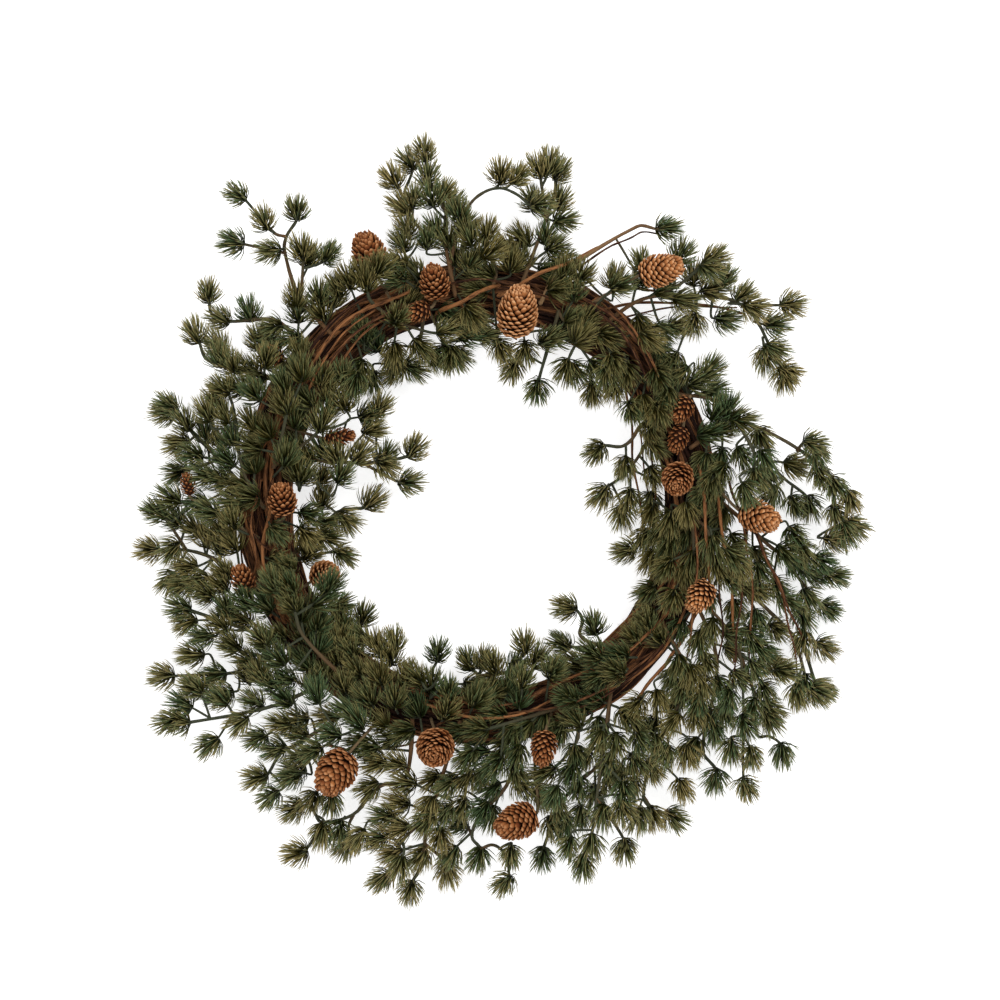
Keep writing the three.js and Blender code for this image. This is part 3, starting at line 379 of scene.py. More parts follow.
# Where bare canes or stems show between the tufts: (across, down, radius) on the grid
BARE_PATCHES = (
    (423, 296, 14), (398, 300, 18), (371, 316, 22), (346, 334, 22), (324, 355, 20), (306, 378, 16),
    (468, 292, 16), (286, 440, 14), (272, 470, 14), (330, 652, 10), (560, 706, 14), (590, 690, 12),
    (632, 300, 10), (612, 322, 24), (636, 352, 18), (590, 302, 14), (256, 516, 16), (262, 545, 17),
    (264, 575, 15), (240, 612, 12), (256, 632, 12), (460, 712, 12), (540, 690, 14), (646, 664, 20),
    (682, 634, 16), (612, 690, 12), (704, 500, 9), (738, 545, 9), (742, 596, 9), (350, 748, 12),
    (566, 678, 12), (600, 250, 40), (630, 380, 14), (612, 398, 16), (636, 616, 22), (450, 666, 22),
    (410, 654, 14), (500, 660, 10), (545, 660, 14), (372, 808, 20), (332, 808, 14), (186, 492, 10),
    (655, 778, 18), (775, 640, 15), (250, 404, 14), (698, 352, 14), (205, 396, 12), (815, 526, 16),
    (648, 456, 12), (614, 420, 14), (618, 636, 16),
)

# Bare vines that run loose over the ring and beside it, bowed upwards: (radius, tone, how high they
# rise above the canes, places)
LOOSE_VINES = (
    (1.7, 0.9, 12, (240, 484), (250, 530), (262, 566), (272, 612)),
    (1.4, 0.7, 16, (262, 480), (254, 520), (258, 560), (250, 604)),
    (1.9, 1.0, 18, (276, 494), (266, 540), (270, 580), (286, 620)),
    (1.2, 0.3, 14, (250, 470), (242, 520), (244, 560), (256, 610)),
    (1.5, 1.0, 12, (226, 600), (244, 616), (268, 634), (292, 664)),
    (1.3, 0.8, 16, (224, 614), (246, 626), (266, 648), (280, 680)),
    (1.0, 0.5, 20, (236, 500), (262, 540), (290, 560), (310, 600)),
    (1.9, 0.9, 34, (296, 400), (324, 350), (358, 316), (410, 292)),
    (1.4, 0.6, 38, (306, 410), (338, 356), (374, 322), (424, 302)),
    (1.2, 0.8, 36, (312, 420), (336, 376), (362, 338), (396, 316)),
    (1.6, 0.3, 32, (290, 392), (318, 344), (352, 308), (400, 284)),
    (1.0, 0.9, 40, (300, 420), (322, 370), (344, 336), (384, 306)),
    (2.2, 1.0, 30, (438, 314), (456, 305), (476, 296), (498, 286)),
    (1.9, 1.0, 40, (500, 296), (532, 280), (568, 263), (600, 247)),
    (1.1, 0.4, 44, (548, 288), (580, 267), (612, 247), (628, 239), (642, 234), (658, 234)),
    (1.3, 0.9, 30, (464, 308), (480, 317), (498, 328), (516, 338)),
    (1.2, 0.4, 20, (440, 286), (480, 280), (520, 290), (560, 300)),
    (1.8, 0.5, 24, (568, 290), (612, 318), (642, 352), (666, 404)),
    (1.3, 0.8, 28, (580, 282), (626, 322), (652, 366), (680, 428)),
    (1.5, 0.3, 26, (584, 300), (618, 332), (640, 368), (660, 420)),
    (1.5, 0.8, 14, (580, 316), (640, 303), (700, 304), (744, 314)),
    (1.1, 0.6, 16, (596, 324), (660, 309), (736, 306)),
    (1.3, 0.9, 20, (582, 306), (612, 292), (650, 290), (696, 299)),
    (1.4, 0.7, 14, (622, 366), (630, 420), (634, 470), (644, 530)),
    (1.2, 0.5, 18, (634, 376), (648, 432), (654, 484), (652, 540)),
    (1.0, 0.8, 12, (628, 370), (638, 400), (640, 440), (650, 500)),
    (1.6, 0.9, 44, (698, 466), (703, 524), (706, 572), (714, 630)),
    (1.7, 1.0, 46, (712, 476), (722, 540), (730, 590), (732, 660)),
    (1.3, 0.7, 40, (728, 480), (742, 530), (750, 600), (744, 690)),
    (1.4, 0.6, 42, (738, 494), (762, 552), (784, 600), (806, 650)),
    (1.2, 0.8, 40, (690, 490), (694, 560), (690, 620), (682, 684)),
    (1.1, 0.4, 44, (746, 520), (740, 580), (734, 640), (730, 700)),
    (1.0, 0.6, 38, (752, 524), (776, 584), (790, 640), (800, 690)),
    (1.1, 0.3, 42, (720, 500), (716, 560), (720, 630), (712, 690)),
    (2.1, 1.0, 24, (702, 600), (682, 636), (658, 670), (628, 706)),
    (1.4, 0.9, 18, (692, 584), (668, 640), (636, 672), (586, 698)),
    (1.7, 0.8, 20, (512, 704), (570, 676), (622, 652), (668, 610)),
    (1.3, 0.6, 22, (496, 714), (560, 702), (620, 676), (676, 632)),
    (1.2, 0.3, 20, (560, 712), (604, 692), (644, 664), (676, 620)),
    (1.5, 1.0, 18, (424, 700), (470, 715), (512, 712), (552, 698)),
    (1.2, 0.6, 16, (440, 722), (480, 706), (520, 698), (560, 684)),
    (1.3, 0.8, 16, (326, 744), (352, 748), (384, 746), (420, 740)),
)

# ---- Places and directions ----


def on_grid(place, height=0.0):
    """A grid place as a point at a given height."""
    across, down = place[:2]
    return np.array([(across - GRID_MIDDLE[0]) * GRID, (GRID_MIDDLE[1] - down) * GRID, height])


RING_CENTRE = on_grid(RING_MIDDLE, RING_HEIGHT)


def length(vector):
    return float(np.sqrt(vector @ vector))


def unit(vector):
    return vector / np.linalg.norm(vector, axis=-1, keepdims=True)


def lerp(start, end, share):
    return start + (end - start) * share


def ramp(value, low, high):
    """0 below low and 1 above high, with a smooth step between them."""
    share = np.clip((value - low) / (high - low), 0, 1)
    return share * share * (3 - 2 * share)


def angle_between(first, second):
    cosine = first @ second / (length(first) * length(second))
    return math.acos(max(-1.0, min(1.0, cosine)))


def direction(heading, tilt):
    """A direction from a heading in the layout and a tilt towards the front, in degrees."""
    turn, rise = math.radians(heading), math.radians(tilt)
    flat = math.cos(rise)
    return np.array([math.cos(turn) * flat, math.sin(turn) * flat, math.sin(rise)])


def off_ring(point):
    """How far a point is outwards from the ring's middle line, seen from above."""
    return math.hypot(point[0] - RING_CENTRE[0], point[1] - RING_CENTRE[1]) - RING_RADIUS


def gap_to_ring(point):
    """How far a point is outside the ring's rounded bundle of canes."""
    return math.hypot(off_ring(point), point[2] - RING_CENTRE[2]) - RING_SPAN


def ring_top(point):
    """The height of the top of the bundle above a place, or 0 beside it."""
    across = off_ring(point)
    if abs(across) >= RING_SPAN:
        return 0.0
    return RING_CENTRE[2] + math.sqrt(RING_SPAN**2 - across**2)


# ---- Laying: the model's own rule for where each stem, twig and stalk runs ----

TWIG_REACH = 12.0  # a twig leaves its stem about this far behind its tuft
TWIG_BEND = math.radians(45)  # a twig that has to turn this far has an elbow,
ELBOW_SHARE = 0.35  # this share of its length behind its tuft
SEAT_BAND = 11.0  # roots stand within this distance of the ring's middle line,
SEAT_SEARCH = 6  # moved by up to this much to the crown of a cane
SEAT_GAP = 0.4
LEAST_BEND = 2.0  # a slighter bend in a stem is left out
STEM_RISE = 5.0  # a stem lies at least this far above the canes
LAID_ROOT, LAID_TIP, LAID_TWIG, LAID_SEAT = 2.3, 1.5, 1.4, 1.1  # radii
HEART_LENGTH = 9.0  # the middle of a tuft, which no stem crosses
HEART_RADII = (2.7, 3.5)
CLEARANCE = 0.5  # between rods, and from the ring
LOWEST = 1.0  # no rod comes nearer to the surface
STEM_LEVELS = (10, 90)  # a stem's tip and a twig's tip stay between these heights
TWIG_LEVELS = (8, 94)
STEM_TILTS, TWIG_TILTS, SPRIG_TILTS = (5, 20), (-5, 35), (5, 30)  # least, and how much more
TWIG_DROPS, SPRIG_DROPS = (-4, 12), (4, 10)  # of the tip from the fork or foot: least, and more
TUFT_TURN = math.radians(50)  # the sharpest turn from a twig to its tuft
STALK_FOOT = 4.0  # above the seat
STALK_HEEL = 3.0  # a stalk runs straight for this far behind its cone
CONE_INSET = 0.6  # a cone's rod starts and ends this share of its half width inside it
LIFTS = (0, 5, -5, 10, -10, 15, -15, 20, -20, 26, -26, 32, -32, 40)
NUDGES = ((0, 0), (5, 0), (-5, 0), (0, 5), (0, -5))  # on the grid
HIGH = 500.0  # above everything
QUARTERS = (0, 0.25, 0.5, 0.75, 1)
FORKS = (0.25, 0.5, 0.75, 0.96)  # where a shoot may leave a stretch of a stem
MOST_RODS = 6000
PARALLEL = 1e-9

DRAW_RANGE = 2**32
DRAW_FACTOR, DRAW_STEP = 1664525, 1013904223
SEED_FACTOR, SEED_STEP = 2654435, 12345


def draws_from(seed):
    """A repeatable run of draws from 0 to 1, by a linear congruence."""
    state = (seed * SEED_FACTOR + SEED_STEP) % DRAW_RANGE
    while True:
        state = (DRAW_FACTOR * state + DRAW_STEP) % DRAW_RANGE
        yield state / DRAW_RANGE


def drawn(draw, least, more):
    return least + more * next(draw)


def cane_tree():
    """The model's canes, as one tree of triangles to drop lines on."""
    corners, triangles = [], []
    for name in CANES:
        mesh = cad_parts[name].data
        mesh.calc_loop_triangles()
        first = len(corners)
        corners.extend(corner.co[:] for corner in mesh.vertices)
        triangles.extend([first + i for i in row.vertices] for row in mesh.loop_triangles)
    return BVHTree.FromPolygons(corners, triangles)


cane_surface = cane_tree()


def seat_near(place):
    """The seat of a root: just above the crown of a cane, near a place over the ring's middle."""
    across = (place - RING_CENTRE) * (1, 1, 0)
    reach = min(max(length(across), RING_RADIUS - SEAT_BAND), RING_RADIUS + SEAT_BAND)
    crown = None
    for shift in range(-SEAT_SEARCH, SEAT_SEARCH + 1):
        above = RING_CENTRE + unit(across) * (reach + shift)
        above[2] = HIGH
        hit = cane_surface.ray_cast(Vector(above * MM), Vector((0, 0, -1)))[0]
        if hit is not None and (crown is None or hit.z / MM > crown[2]):
            crown = np.array(hit) / MM
    return crown + UP * SEAT_GAP


def rooting(place):
    """The seat of a root near a place, and its foot, where it stands out of the bundle."""
    seat = seat_near(place)
    return seat, np.array([seat[0], seat[1], ring_top(seat) + STEM_RISE])


class Rods:
    """Everything that is laid, as tapered rods from a to b, each with its piece and its shoot."""

    def __init__(self):
        self.count = 0
        self.a, self.b = np.zeros((MOST_RODS, 3)), np.zeros((MOST_RODS, 3))
        self.radii = np.zeros((MOST_RODS, 2))
        self.piece, self.shoot = np.zeros(MOST_RODS, int), np.zeros(MOST_RODS, int)

    def add(self, rods, piece, shoot):
        for a, b, start_radius, end_radius in rods:
            self.a[self.count], self.b[self.count] = a, b
            self.radii[self.count] = start_radius, end_radius
            self.piece[self.count], self.shoot[self.count] = piece, shoot
            self.count += 1

    def least_gap(self, rod, matters):
        """The least gap between a rod and those that matter, where their middle lines are nearest:
        s and t are the shares of the way along the rod and along each of those."""
        chosen = np.flatnonzero(matters(self.piece[: self.count], self.shoot[: self.count]))
        if not len(chosen):
            return math.inf
        a, b, start_radius, end_radius = rod
        u, v, w = b - a, self.b[chosen] - self.a[chosen], a - self.a[chosen]
        uu, uv, vv = u @ u, v @ u, np.sum(v * v, 1)
        uw, vw = w @ u, np.sum(v * w, 1)
        spread = uu * vv - uv * uv
        slanted = spread > PARALLEL
        s = np.clip((uv * vw - vv * uw) / np.where(slanted, spread, 1), 0, 1)
        t = np.clip((uv * np.where(slanted, s, 0) + vw) / vv, 0, 1)
        s = np.clip((uv * t - uw) / uu, 0, 1)
        apart = np.linalg.norm(w + u * s[:, None] - v * t[:, None], axis=1)
        radii = self.radii[chosen]
        own = lerp(start_radius, end_radius, s)
        return float(np.min(apart - own - lerp(radii[:, 0], radii[:, 1], t)))


rods = Rods()


def has_room(rod, matters):
    """Whether a rod is above the surface, outside the ring and clear of every rod that matters."""
    a, b, start_radius, end_radius = rod
    for share in QUARTERS:
        place, radius = lerp(a, b, share), lerp(start_radius, end_radius, share)
        if place[2] - radius < LOWEST or gap_to_ring(place) - radius < CLEARANCE:
            return False
    return rods.least_gap(rod, matters) >= CLEARANCE


def tuft_axis(path, axis):
    """The direction of the tuft at the end of a path: its own, or as near as a tuft can turn."""
    along = unit(path[-1] - path[-2])
    if angle_between(along, axis) <= TUFT_TURN:
        return axis
    hinge = unit(np.cross(along, axis))
    return along * math.cos(TUFT_TURN) + np.cross(hinge, along) * math.sin(TUFT_TURN)


def shoot_rods(path, radii, axis):
    """The rods of a shoot: its stretches and the middle of its tuft."""
    heart = (path[-1], path[-1] + tuft_axis(path, axis) * HEART_LENGTH, *HEART_RADII)
    return [*zip(path, path[1:], radii, radii[1:]), heart]


def lay_shoot(shoot, ways, radii, axis, piece, parent, first=False):
    """Lays a shoot the first of several ways that has room among all the others, or among the other
    pieces. Gives None for no room. A root runs down to its seat on the canes, unlooked at."""
    for matters in (lambda _, shoots: shoots != parent, lambda pieces, _: pieces != piece):
        for path in ways:
            stretches = shoot_rods(path, radii, axis)[int(first) :]
            if all(has_room(rod, matters) for rod in stretches):
                rods.add(stretches, piece, shoot)
                return {"path": path, "axis": tuft_axis(path, axis), "first": first, "shoot": shoot}
    return None


def clear_of_ring(path):
    """Lifts the joints of a path until each stretch clears the bundle of canes."""
    for i in range(1, len(path)):
        places = [lerp(path[i - 1], path[i], share) for share in QUARTERS]
        short = max(ring_top(place) + STEM_RISE - place[2] for place in places)
        if short > 0:
            path[i][2] += short
            if i > 1:
                path[i - 1][2] += short
    return path


def plainer(places):
    """The places of a path but for those that hardly bend it."""
    kept = [places[0]]
    for before, place, after in zip(places, places[1:], places[2:]):
        chord = after - before
        share = (place - before) @ chord / (chord @ chord)
        if length(place - before - chord * share) > LEAST_BEND:
            kept.append(place)
    return [*kept, places[-1]]


def stem_path(start, places, height):
    """A stem's path from its start over its places, rising evenly to its height at the tip."""
    path = plainer([on_grid(place) for place in places])
    lengths = np.cumsum([0.0] + [length(b - a) for a, b in zip(path, path[1:])])
    for place, run in zip(path, lengths):
        place[2] = lerp(start[2], height, run / lengths[-1])
    path[0] = start.copy()
    return clear_of_ring(path)


def levels_round(height, lowest, highest):
    """The heights to try round a wanted one, in order."""
    return [height + lift for lift in LIFTS if lowest < height + lift < highest]


def nearest_on(stems, place):
    """The point of some stems that a shoot may leave and that is nearest to a place from above."""
    points, shoots = [], []
    for row in stems:
        path = row["path"][1:] if row["first"] else row["path"]
        for a, b in zip(path, path[1:]):
            points.extend(lerp(a, b, share) for share in FORKS)
            shoots.extend([row["shoot"]] * len(FORKS))
    away = np.hypot(*(np.array(points)[:, :2] - place[:2]).T)
    best = int(np.argmin(away))
    return points[best], shoots[best], float(away[best])


def lay_stalks(piece, root, *cones):
    """Lays a cone node's stalks and cones, and gives each cone with its stalk's path. A second
    cone's stalk leaves the bend of the first."""
    start = foot = seat_near(on_grid(root)) + UP * STALK_FOOT
    laid = []
    for across, down, height, heading, tilt, long, wide in cones:
        axis = direction(heading, tilt)
        base = on_grid((across, down), height) - axis * long / 2
        heel = base - axis * STALK_HEEL
        bend = lerp(start, heel, 0.5)
        bend[2] = max(bend[2], ring_top(bend) + STEM_RISE)
        path, rooted = [start, bend, heel], start is foot
        half = wide / 2
        ends = base + axis * half * CONE_INSET, base + axis * (long - half * CONE_INSET)
        runs = [(a, b, LAID_TIP, LAID_TIP) for a, b in zip(path, path[1:])][0 if rooted else 1 :]
        rods.add([*runs, (*ends, half + 1, half)], piece, -piece)
        cone = {"path": path, "rooted": rooted, "base": base, "axis": axis}
        laid.append(cone | {"long": long, "wide": wide})
        start = bend
    return laid


shoot_numbers = itertools.count(1)


def lay_stems(piece, stems):
    """Lays a spray's stems, the first from its seat on the canes and the others from it."""
    laid = []
    root = stems[0][2]
    seat, foot = rooting(on_grid(root))
    for heading, height, *places in stems:
        shoot, first = next(shoot_numbers), not laid
        if places[0] == root:
            fork, parent = foot, 0 if first else laid[0]["shoot"]
        else:
            fork, parent, _ = nearest_on(laid, on_grid(places[0]))
        axis = direction(heading, drawn(draws_from(shoot), *STEM_TILTS))
        ways = []
        for right, down in NUDGES:
            moved = [(place[0] + right, place[1] + down) for place in places]
            for level in levels_round(height, *STEM_LEVELS):
                ways.append([seat] * first + stem_path(fork, moved, level))
        joints = len(ways[0])
        thick = LAID_ROOT if first else LAID_TIP
        radii = [lerp(thick, LAID_TIP, k / joints) for k in range(joints)]
        radii[0] = LAID_SEAT if first else radii[0]
        laid.append(lay_shoot(shoot, ways, radii, axis, piece, parent, first))
    return laid


def twig_start(tuft):
    """Where the twig of a tuft would start, seen from above: straight behind it."""
    return on_grid(tuft) - direction(tuft[2], 0) * TWIG_REACH


def lay_twig(piece, stems, tuft):
    """Lays the twig of a tuft, from the nearest stem to its base, or gives None for no room."""
    shoot = next(shoot_numbers)
    draw = draws_from(shoot)
    axis = direction(tuft[2], drawn(draw, *TWIG_TILTS))
    fork, parent, _ = nearest_on(stems, twig_start(tuft))
    levels = levels_round(fork[2] + drawn(draw, *TWIG_DROPS), *TWIG_LEVELS)
    ways = []
    for (right, down), level in itertools.product(NUDGES, levels):
        base = on_grid((tuft[0] + right, tuft[1] + down), level)
        run = base - fork
        bent = angle_between(run, axis) >= TWIG_BEND
        elbow = [base - axis * ELBOW_SHARE * length(run)] if bent else []
        ways.append(clear_of_ring([fork.copy(), *elbow, base]))
    return lay_shoot(shoot, ways, [LAID_TWIG] * 3, axis, piece, parent)


cone_plans = {name: lay_stalks(i + 1, *row) for i, (name, row) in enumerate(CONES.items())}
spray_pieces = {name: len(CONES) + 1 + i for i, name in enumerate(SPRAYS)}
spray_stems = {name: lay_stems(spray_pieces[name], stems) for name, (stems, _) in SPRAYS.items()}
spray_twigs = {
    name: [lay_twig(spray_pieces[name], spray_stems[name], tuft) for tuft in tufts]
    for name, (_, tufts) in SPRAYS.items()
}

# ---- Filling in: tufts that only the finer pieces have take what room is left ----

SPRIG_BAND = 26.0  # a filling tuft this near to the ring's middle line stands on the canes,
SPRIG_AWAY = 14.0  # where no stem is nearer than this
SPRIG_RISES = (10, 18, 4, 26, 34)  # tried in this order
LONGEST_TWIG = 42.0
CONE_MARGIN = 9  # kept clear round a cone, on the grid
FILL_TRIES = 7000
FILL_ON_RING = 16  # least distance from one tuft's base to the next, on the grid, over the ring,
FILL_BESIDE_RING = 12  # beside it
FILL_AT_RIM = 17  # and at the rim,
RIM_AWAY = 4  # this many spans of the ring from its middle line
FILL_SWING = 24  # how far a filling tuft's heading strays from its neighbour's, in degrees
FILL_SEED = 11

all_stems = [row | {"spray": name} for name, rows in spray_stems.items() for row in rows]


def lay_sprig(piece, tuft):
    """Lays a short twig on the canes, under a tuft's base, or gives None for no room."""
    shoot = next(shoot_numbers)
    draw = draws_from(shoot)
    axis = direction(tuft[2], drawn(draw, *SPRIG_TILTS))
    seat, foot = rooting(twig_start(tuft))
    least, more = SPRIG_DROPS
    lowest = foot[2] + least + more * next(draw)
    bases = [on_grid(tuft, lowest + rise) for rise in SPRIG_RISES]
    ways = [[seat, *clear_of_ring([foot.copy(), base])] for base in bases]
    return lay_shoot(shoot, ways, [LAID_TWIG] * 3, axis, piece, 0, first=True)


def lay_fuller(tuft):
    """Lays one more tuft, on the canes or on the nearest stem of any spray, and adds it to that
    spray. Says whether it had room."""
    start = twig_start(tuft)
    _, nearest, away = nearest_on(all_stems, start)
    name = next(row["spray"] for row in all_stems if row["shoot"] == nearest)
    twig = None
    if abs(off_ring(start)) < SPRIG_BAND and away > SPRIG_AWAY:
        twig = lay_sprig(spray_pieces[name], tuft)
    elif away <= LONGEST_TWIG:
        twig = lay_twig(spray_pieces[name], spray_stems[name], tuft)
    if twig is not None:
        spray_twigs[name].append(twig)
    return twig is not None


def fill_in():
    """Fills the foliage's reach with tufts at random places, each a spacing or more from the others
    and off the bare patches and the cones. A tuft heads about as the nearest laid one does."""
    random = np.random.default_rng(FILL_SEED)
    laid = [tuft for _, tufts in SPRAYS.values() for tuft in tufts] + FULLER
    laid += [(*stem[-1], stem[0]) for stems, _ in SPRAYS.values() for stem in stems]
    cones = [cone for _, *cones in CONES.values() for cone in cones]
    kept_clear = [(*cone[:2], cone[5] / GRID / 2 + CONE_MARGIN) for cone in cones]
    bare = np.array([*BARE_PATCHES, *kept_clear], float)
    every = np.arange(len(INNER_REACH) + 1) * REACH_STEP
    for _ in range(FILL_TRIES):
        around, depth = random.uniform(0, 360), random.uniform()
        swing = random.normal(0, FILL_SWING)
        inner = np.interp(around, every, [*INNER_REACH, INNER_REACH[0]])
        outer = np.interp(around, every, [*OUTER_REACH, OUTER_REACH[0]])
        reach = math.sqrt(lerp(inner**2, outer**2, depth))
        across = RING_MIDDLE[0] + reach * math.cos(math.radians(around))
        down = RING_MIDDLE[1] - reach * math.sin(math.radians(around))
        known = np.array(laid, float)
        away = np.hypot(known[:, 0] - across, known[:, 1] - down)
        from_ring = abs(reach * GRID - RING_RADIUS) / RING_SPAN
        spacing = lerp(FILL_BESIDE_RING, FILL_AT_RIM, min(1, from_ring / RIM_AWAY))
        if from_ring < 1:
            spacing = FILL_ON_RING
        in_patch = np.hypot(bare[:, 0] - across, bare[:, 1] - down) < bare[:, 2]
        tuft = (across, down, known[int(away.argmin()), 2] + swing)
        if away.min() >= spacing and not np.any(in_patch) and lay_fuller(tuft):
            laid.append(tuft)


for fuller_tuft in FULLER:
    lay_fuller(fuller_tuft)
fill_in()


# ---- Surfaces, as whole arrays of points and triangles ----


class Surface:
    """The closed surfaces of one piece. Each point has a look (tone, reach, wood): its own tone,
    its share of the way from root to tip, which on needles is scaled down near the ring as painted
    shade, and 1 on bark or 0 elsewhere. It also has its place in the grain of the bark, as metres
    along the shoot and two across it."""

    def __init__(self):
        self.points, self.faces, self.grains, self.looks = [], [], [], []
        self.count = 0

    def add(self, points, faces, grains, looks):
        self.points.append(points)
        self.faces.append(faces + self.count)
        self.grains.append(grains)
        self.looks.append(np.broadcast_to(looks, points.shape))
        self.count += len(points)

    def add_many(self, rings, tails, noses, tones, reach, shade=1.0):
        """Adds closed shapes that are alike, each with its rings of points and the two points that
        close it. `reach` is each ring's share of the way to the tip, and the shade scales it: for
        needles, a painted shade that darkens the tips of tufts near the ring."""
        number, levels, sides = rings.shape[:3]
        size = levels * sides + 2
        ends = np.stack([tails, noses], 1)
        points = np.concatenate([rings.reshape(number, size - 2, 3), ends], 1)
        faces = ring_faces(levels, sides) + (np.arange(number) * size)[:, None, None]
        looks = np.zeros(points.shape)
        looks[..., 0] = tones[:, None]
        looks[..., 1] = np.concatenate([np.repeat(reach, sides), [0, 1]]) * shade
        points, looks = points.reshape(-1, 3), looks.reshape(-1, 3)
        self.add(points, faces.reshape(-1, 3), np.zeros(points.shape), looks)

    def piece(self, name, finish, slot, *nodes):
        """Makes the piece, which replaces its nodes and rides on the wreath's one body."""
        faces = np.concatenate(self.faces)
        mesh = bpy.data.meshes.new(name)
        mesh.vertices.add(self.count)
        mesh.vertices.foreach_set("co", (np.concatenate(self.points) * MM).ravel())
        mesh.loops.add(faces.size)
        mesh.loops.foreach_set("vertex_index", faces.ravel())
        mesh.polygons.add(len(faces))
        mesh.polygons.foreach_set("loop_start", np.arange(0, faces.size, 3))
        for title, values in (("look", self.looks), ("grain", self.grains)):
            layer = mesh.attributes.new(title, "FLOAT_VECTOR", "POINT")
            layer.data.foreach_set("vector", np.concatenate(values).ravel())
        mesh.update(calc_edges=True)
        mesh.shade_smooth()
        mesh.materials.append(finish)
        made = bpy.data.objects.new(name, mesh)
        bpy.context.scene.collection.objects.link(made)
        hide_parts(*nodes)
        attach(made, "root")


def ring_faces(rings, sides):
    """The triangles of bands between rings of points, and of fans to the two points that follow
    them: behind the first ring and ahead of the last. They face outwards where the rings turn
    right-handed."""
    ring, side = np.meshgrid(np.arange(rings - 1), np.arange(sides), indexing="ij")
    a = (ring * sides + side).ravel()
    b = (ring * sides + (side + 1) % sides).ravel()
    bands = [np.stack([a, b, b + sides], 1), np.stack([a, b + sides, a + sides], 1)]
    around = np.arange(sides)
    after = (around + 1) % sides
    tail, nose, last = rings * sides, rings * sides + 1, (rings - 1) * sides
    back = np.stack([np.full(sides, tail), after, around], 1)
    front = np.stack([np.full(sides, nose), last + around, last + after], 1)
    return np.concatenate([*bands, back, front])


FACINGS = unit(np.array([
    (1, 0, 0), (0, 1, 0), (0, 0, 1), (1, 1, 0), (1, -1, 0), (1, 0, 1), (1, 0, -1), (0, 1, 1),
    (0, 1, -1),
], float))  # fixed directions to set the sides of lines by
ROD_END = 0.4  # how far a rod's ends bulge, of its radius
GRAIN_APART = 37.0  # so that no two shoots have the same grain


def turned(first, second, turn):
    """Directions at some turns, from one side towards another."""
    return first * np.cos(turn)[:, None] + second * np.sin(turn)[:, None]


def square_to(axis, turn):
    """Directions square to an axis, at some turns about it."""
    first = unit(np.cross(axis, FACINGS[np.argmin(np.abs(FACINGS @ axis))]))
    return turned(first, np.cross(axis, first), turn)


def rod(line, radii, sides, seed):
    """A round rod along a line: at each point a ring of that point's radius, and closed ends. Its
    rings are square to the line, and set by the fixed direction that the line runs along least.
    Gives its points, its triangles and each point's place in the grain."""
    tangents = unit(np.gradient(line, axis=0))
    facing = FACINGS[np.argmin(np.max(np.abs(tangents @ FACINGS.T), 0))]
    first = unit(facing - tangents * (tangents @ facing)[:, None])
    turn = np.arange(sides) / sides * TURN
    around = turned(first[:, None], np.cross(tangents, first)[:, None], turn)
    rings = line[:, None] + around * radii[:, None, None]
    back, front = tangents[0] * radii[0] * ROD_END, tangents[-1] * radii[-1] * ROD_END
    run = np.concatenate([[0.0], np.cumsum(np.linalg.norm(np.diff(line, axis=0), axis=1))])
    grain = np.empty((len(line), sides, 3))
    grain[..., 0] = run[:, None]
    grain[..., 1:] = np.stack([np.cos(turn), np.sin(turn)], 1) * radii[:, None, None]
    end_grain = np.array([(run[0], 0, 0), (run[-1], 0, 0)])
    grains = (np.concatenate([grain.reshape(-1, 3), end_grain]) + seed * GRAIN_APART) * MM
    points = np.concatenate([rings.reshape(-1, 3), [line[0] - back, line[-1] + front]])
    return points, ring_faces(len(line), sides), grains


def smooth_line(joints, parts=5):
    """A smooth line through joints: cubic stretches, whose slope at each joint is that from the
    joint before it to the joint after it, with `parts` points in each."""
    joints = np.array(joints)
    slopes = unit(np.gradient(joints, axis=0))
    start, end = joints[:-1, None], joints[1:, None]
    reach = np.linalg.norm(end - start, axis=2, keepdims=True)
    t = (np.arange(parts) / parts)[None, :, None]
    line = (
        start * (1 + 2 * t) * (1 - t) ** 2
        + end * t * t * (3 - 2 * t)
        + slopes[:-1, None] * reach * t * (1 - t) ** 2
        - slopes[1:, None] * reach * t * t * (1 - t)
    )
    return np.concatenate([line.reshape(-1, 3), joints[-1:]])


# ---- The ring of canes ----

CANE_REACH = TURN + 0.3  # a cane laps itself a little
CANE_SIDES = 6
CANE_STEP = 4.6  # from one ring of points to the next
CANE_TAPER = 0.25  # its ends are this long, in radians round the ring,
CANE_DIVE = 5.0  # and dive this far
VINE_SWAY = 0.8
VINE_END_SUNK = 7.0  # the ends of a loose vine dive this far among the canes
VINE_TAPER = 0.35
VINE_SIDES, VINE_PARTS = 7, 8
VINE_SEED = 400
BARK_REACH, BARK = 0.5, 1


def cane(surface, seed, place, offset, radius, windings, start):
    """One cane, wound about the ring's middle line: at each angle it is offset from that line, in a
    direction that turns evenly and wanders a little. Its ends narrow and dive among the others."""
    random = np.random.default_rng(seed)
    shift = random.uniform(0, TURN, 5)
    share = np.linspace(0, 1, int(CANE_REACH * RING_RADIUS / CANE_STEP))
    angle = start + CANE_REACH * share
    slow, quick = 0.09 * np.sin(2 * angle + shift[0]), 0.06 * np.sin(5 * angle + shift[1])
    turn = place + windings * angle + slow + quick
    ends = ramp(share * CANE_REACH, 0, CANE_TAPER) * ramp((1 - share) * CANE_REACH, 0, CANE_TAPER)
    out = offset + 0.7 * np.sin(3 * angle + shift[2]) - CANE_DIVE * (1 - ends)
    radial = np.stack([np.cos(angle), np.sin(angle), np.zeros(len(angle))], 1)
    line = RING_CENTRE + radial * (RING_RADIUS + out * np.cos(turn))[:, None]
    line = line + UP * (out * np.sin(turn))[:, None]
    knobs = 1 + 0.10 * np.sin(9 * angle + shift[3]) + 0.06 * np.sin(23 * angle + shift[4])
    points, faces, grains = rod(line, radius * knobs * (0.55 + 0.45 * ends), CANE_SIDES, seed)
    points[:, 2] = np.maximum(points[:, 2], 0)
    surface.add(points, faces, grains, (random.uniform(), BARK_REACH, BARK))


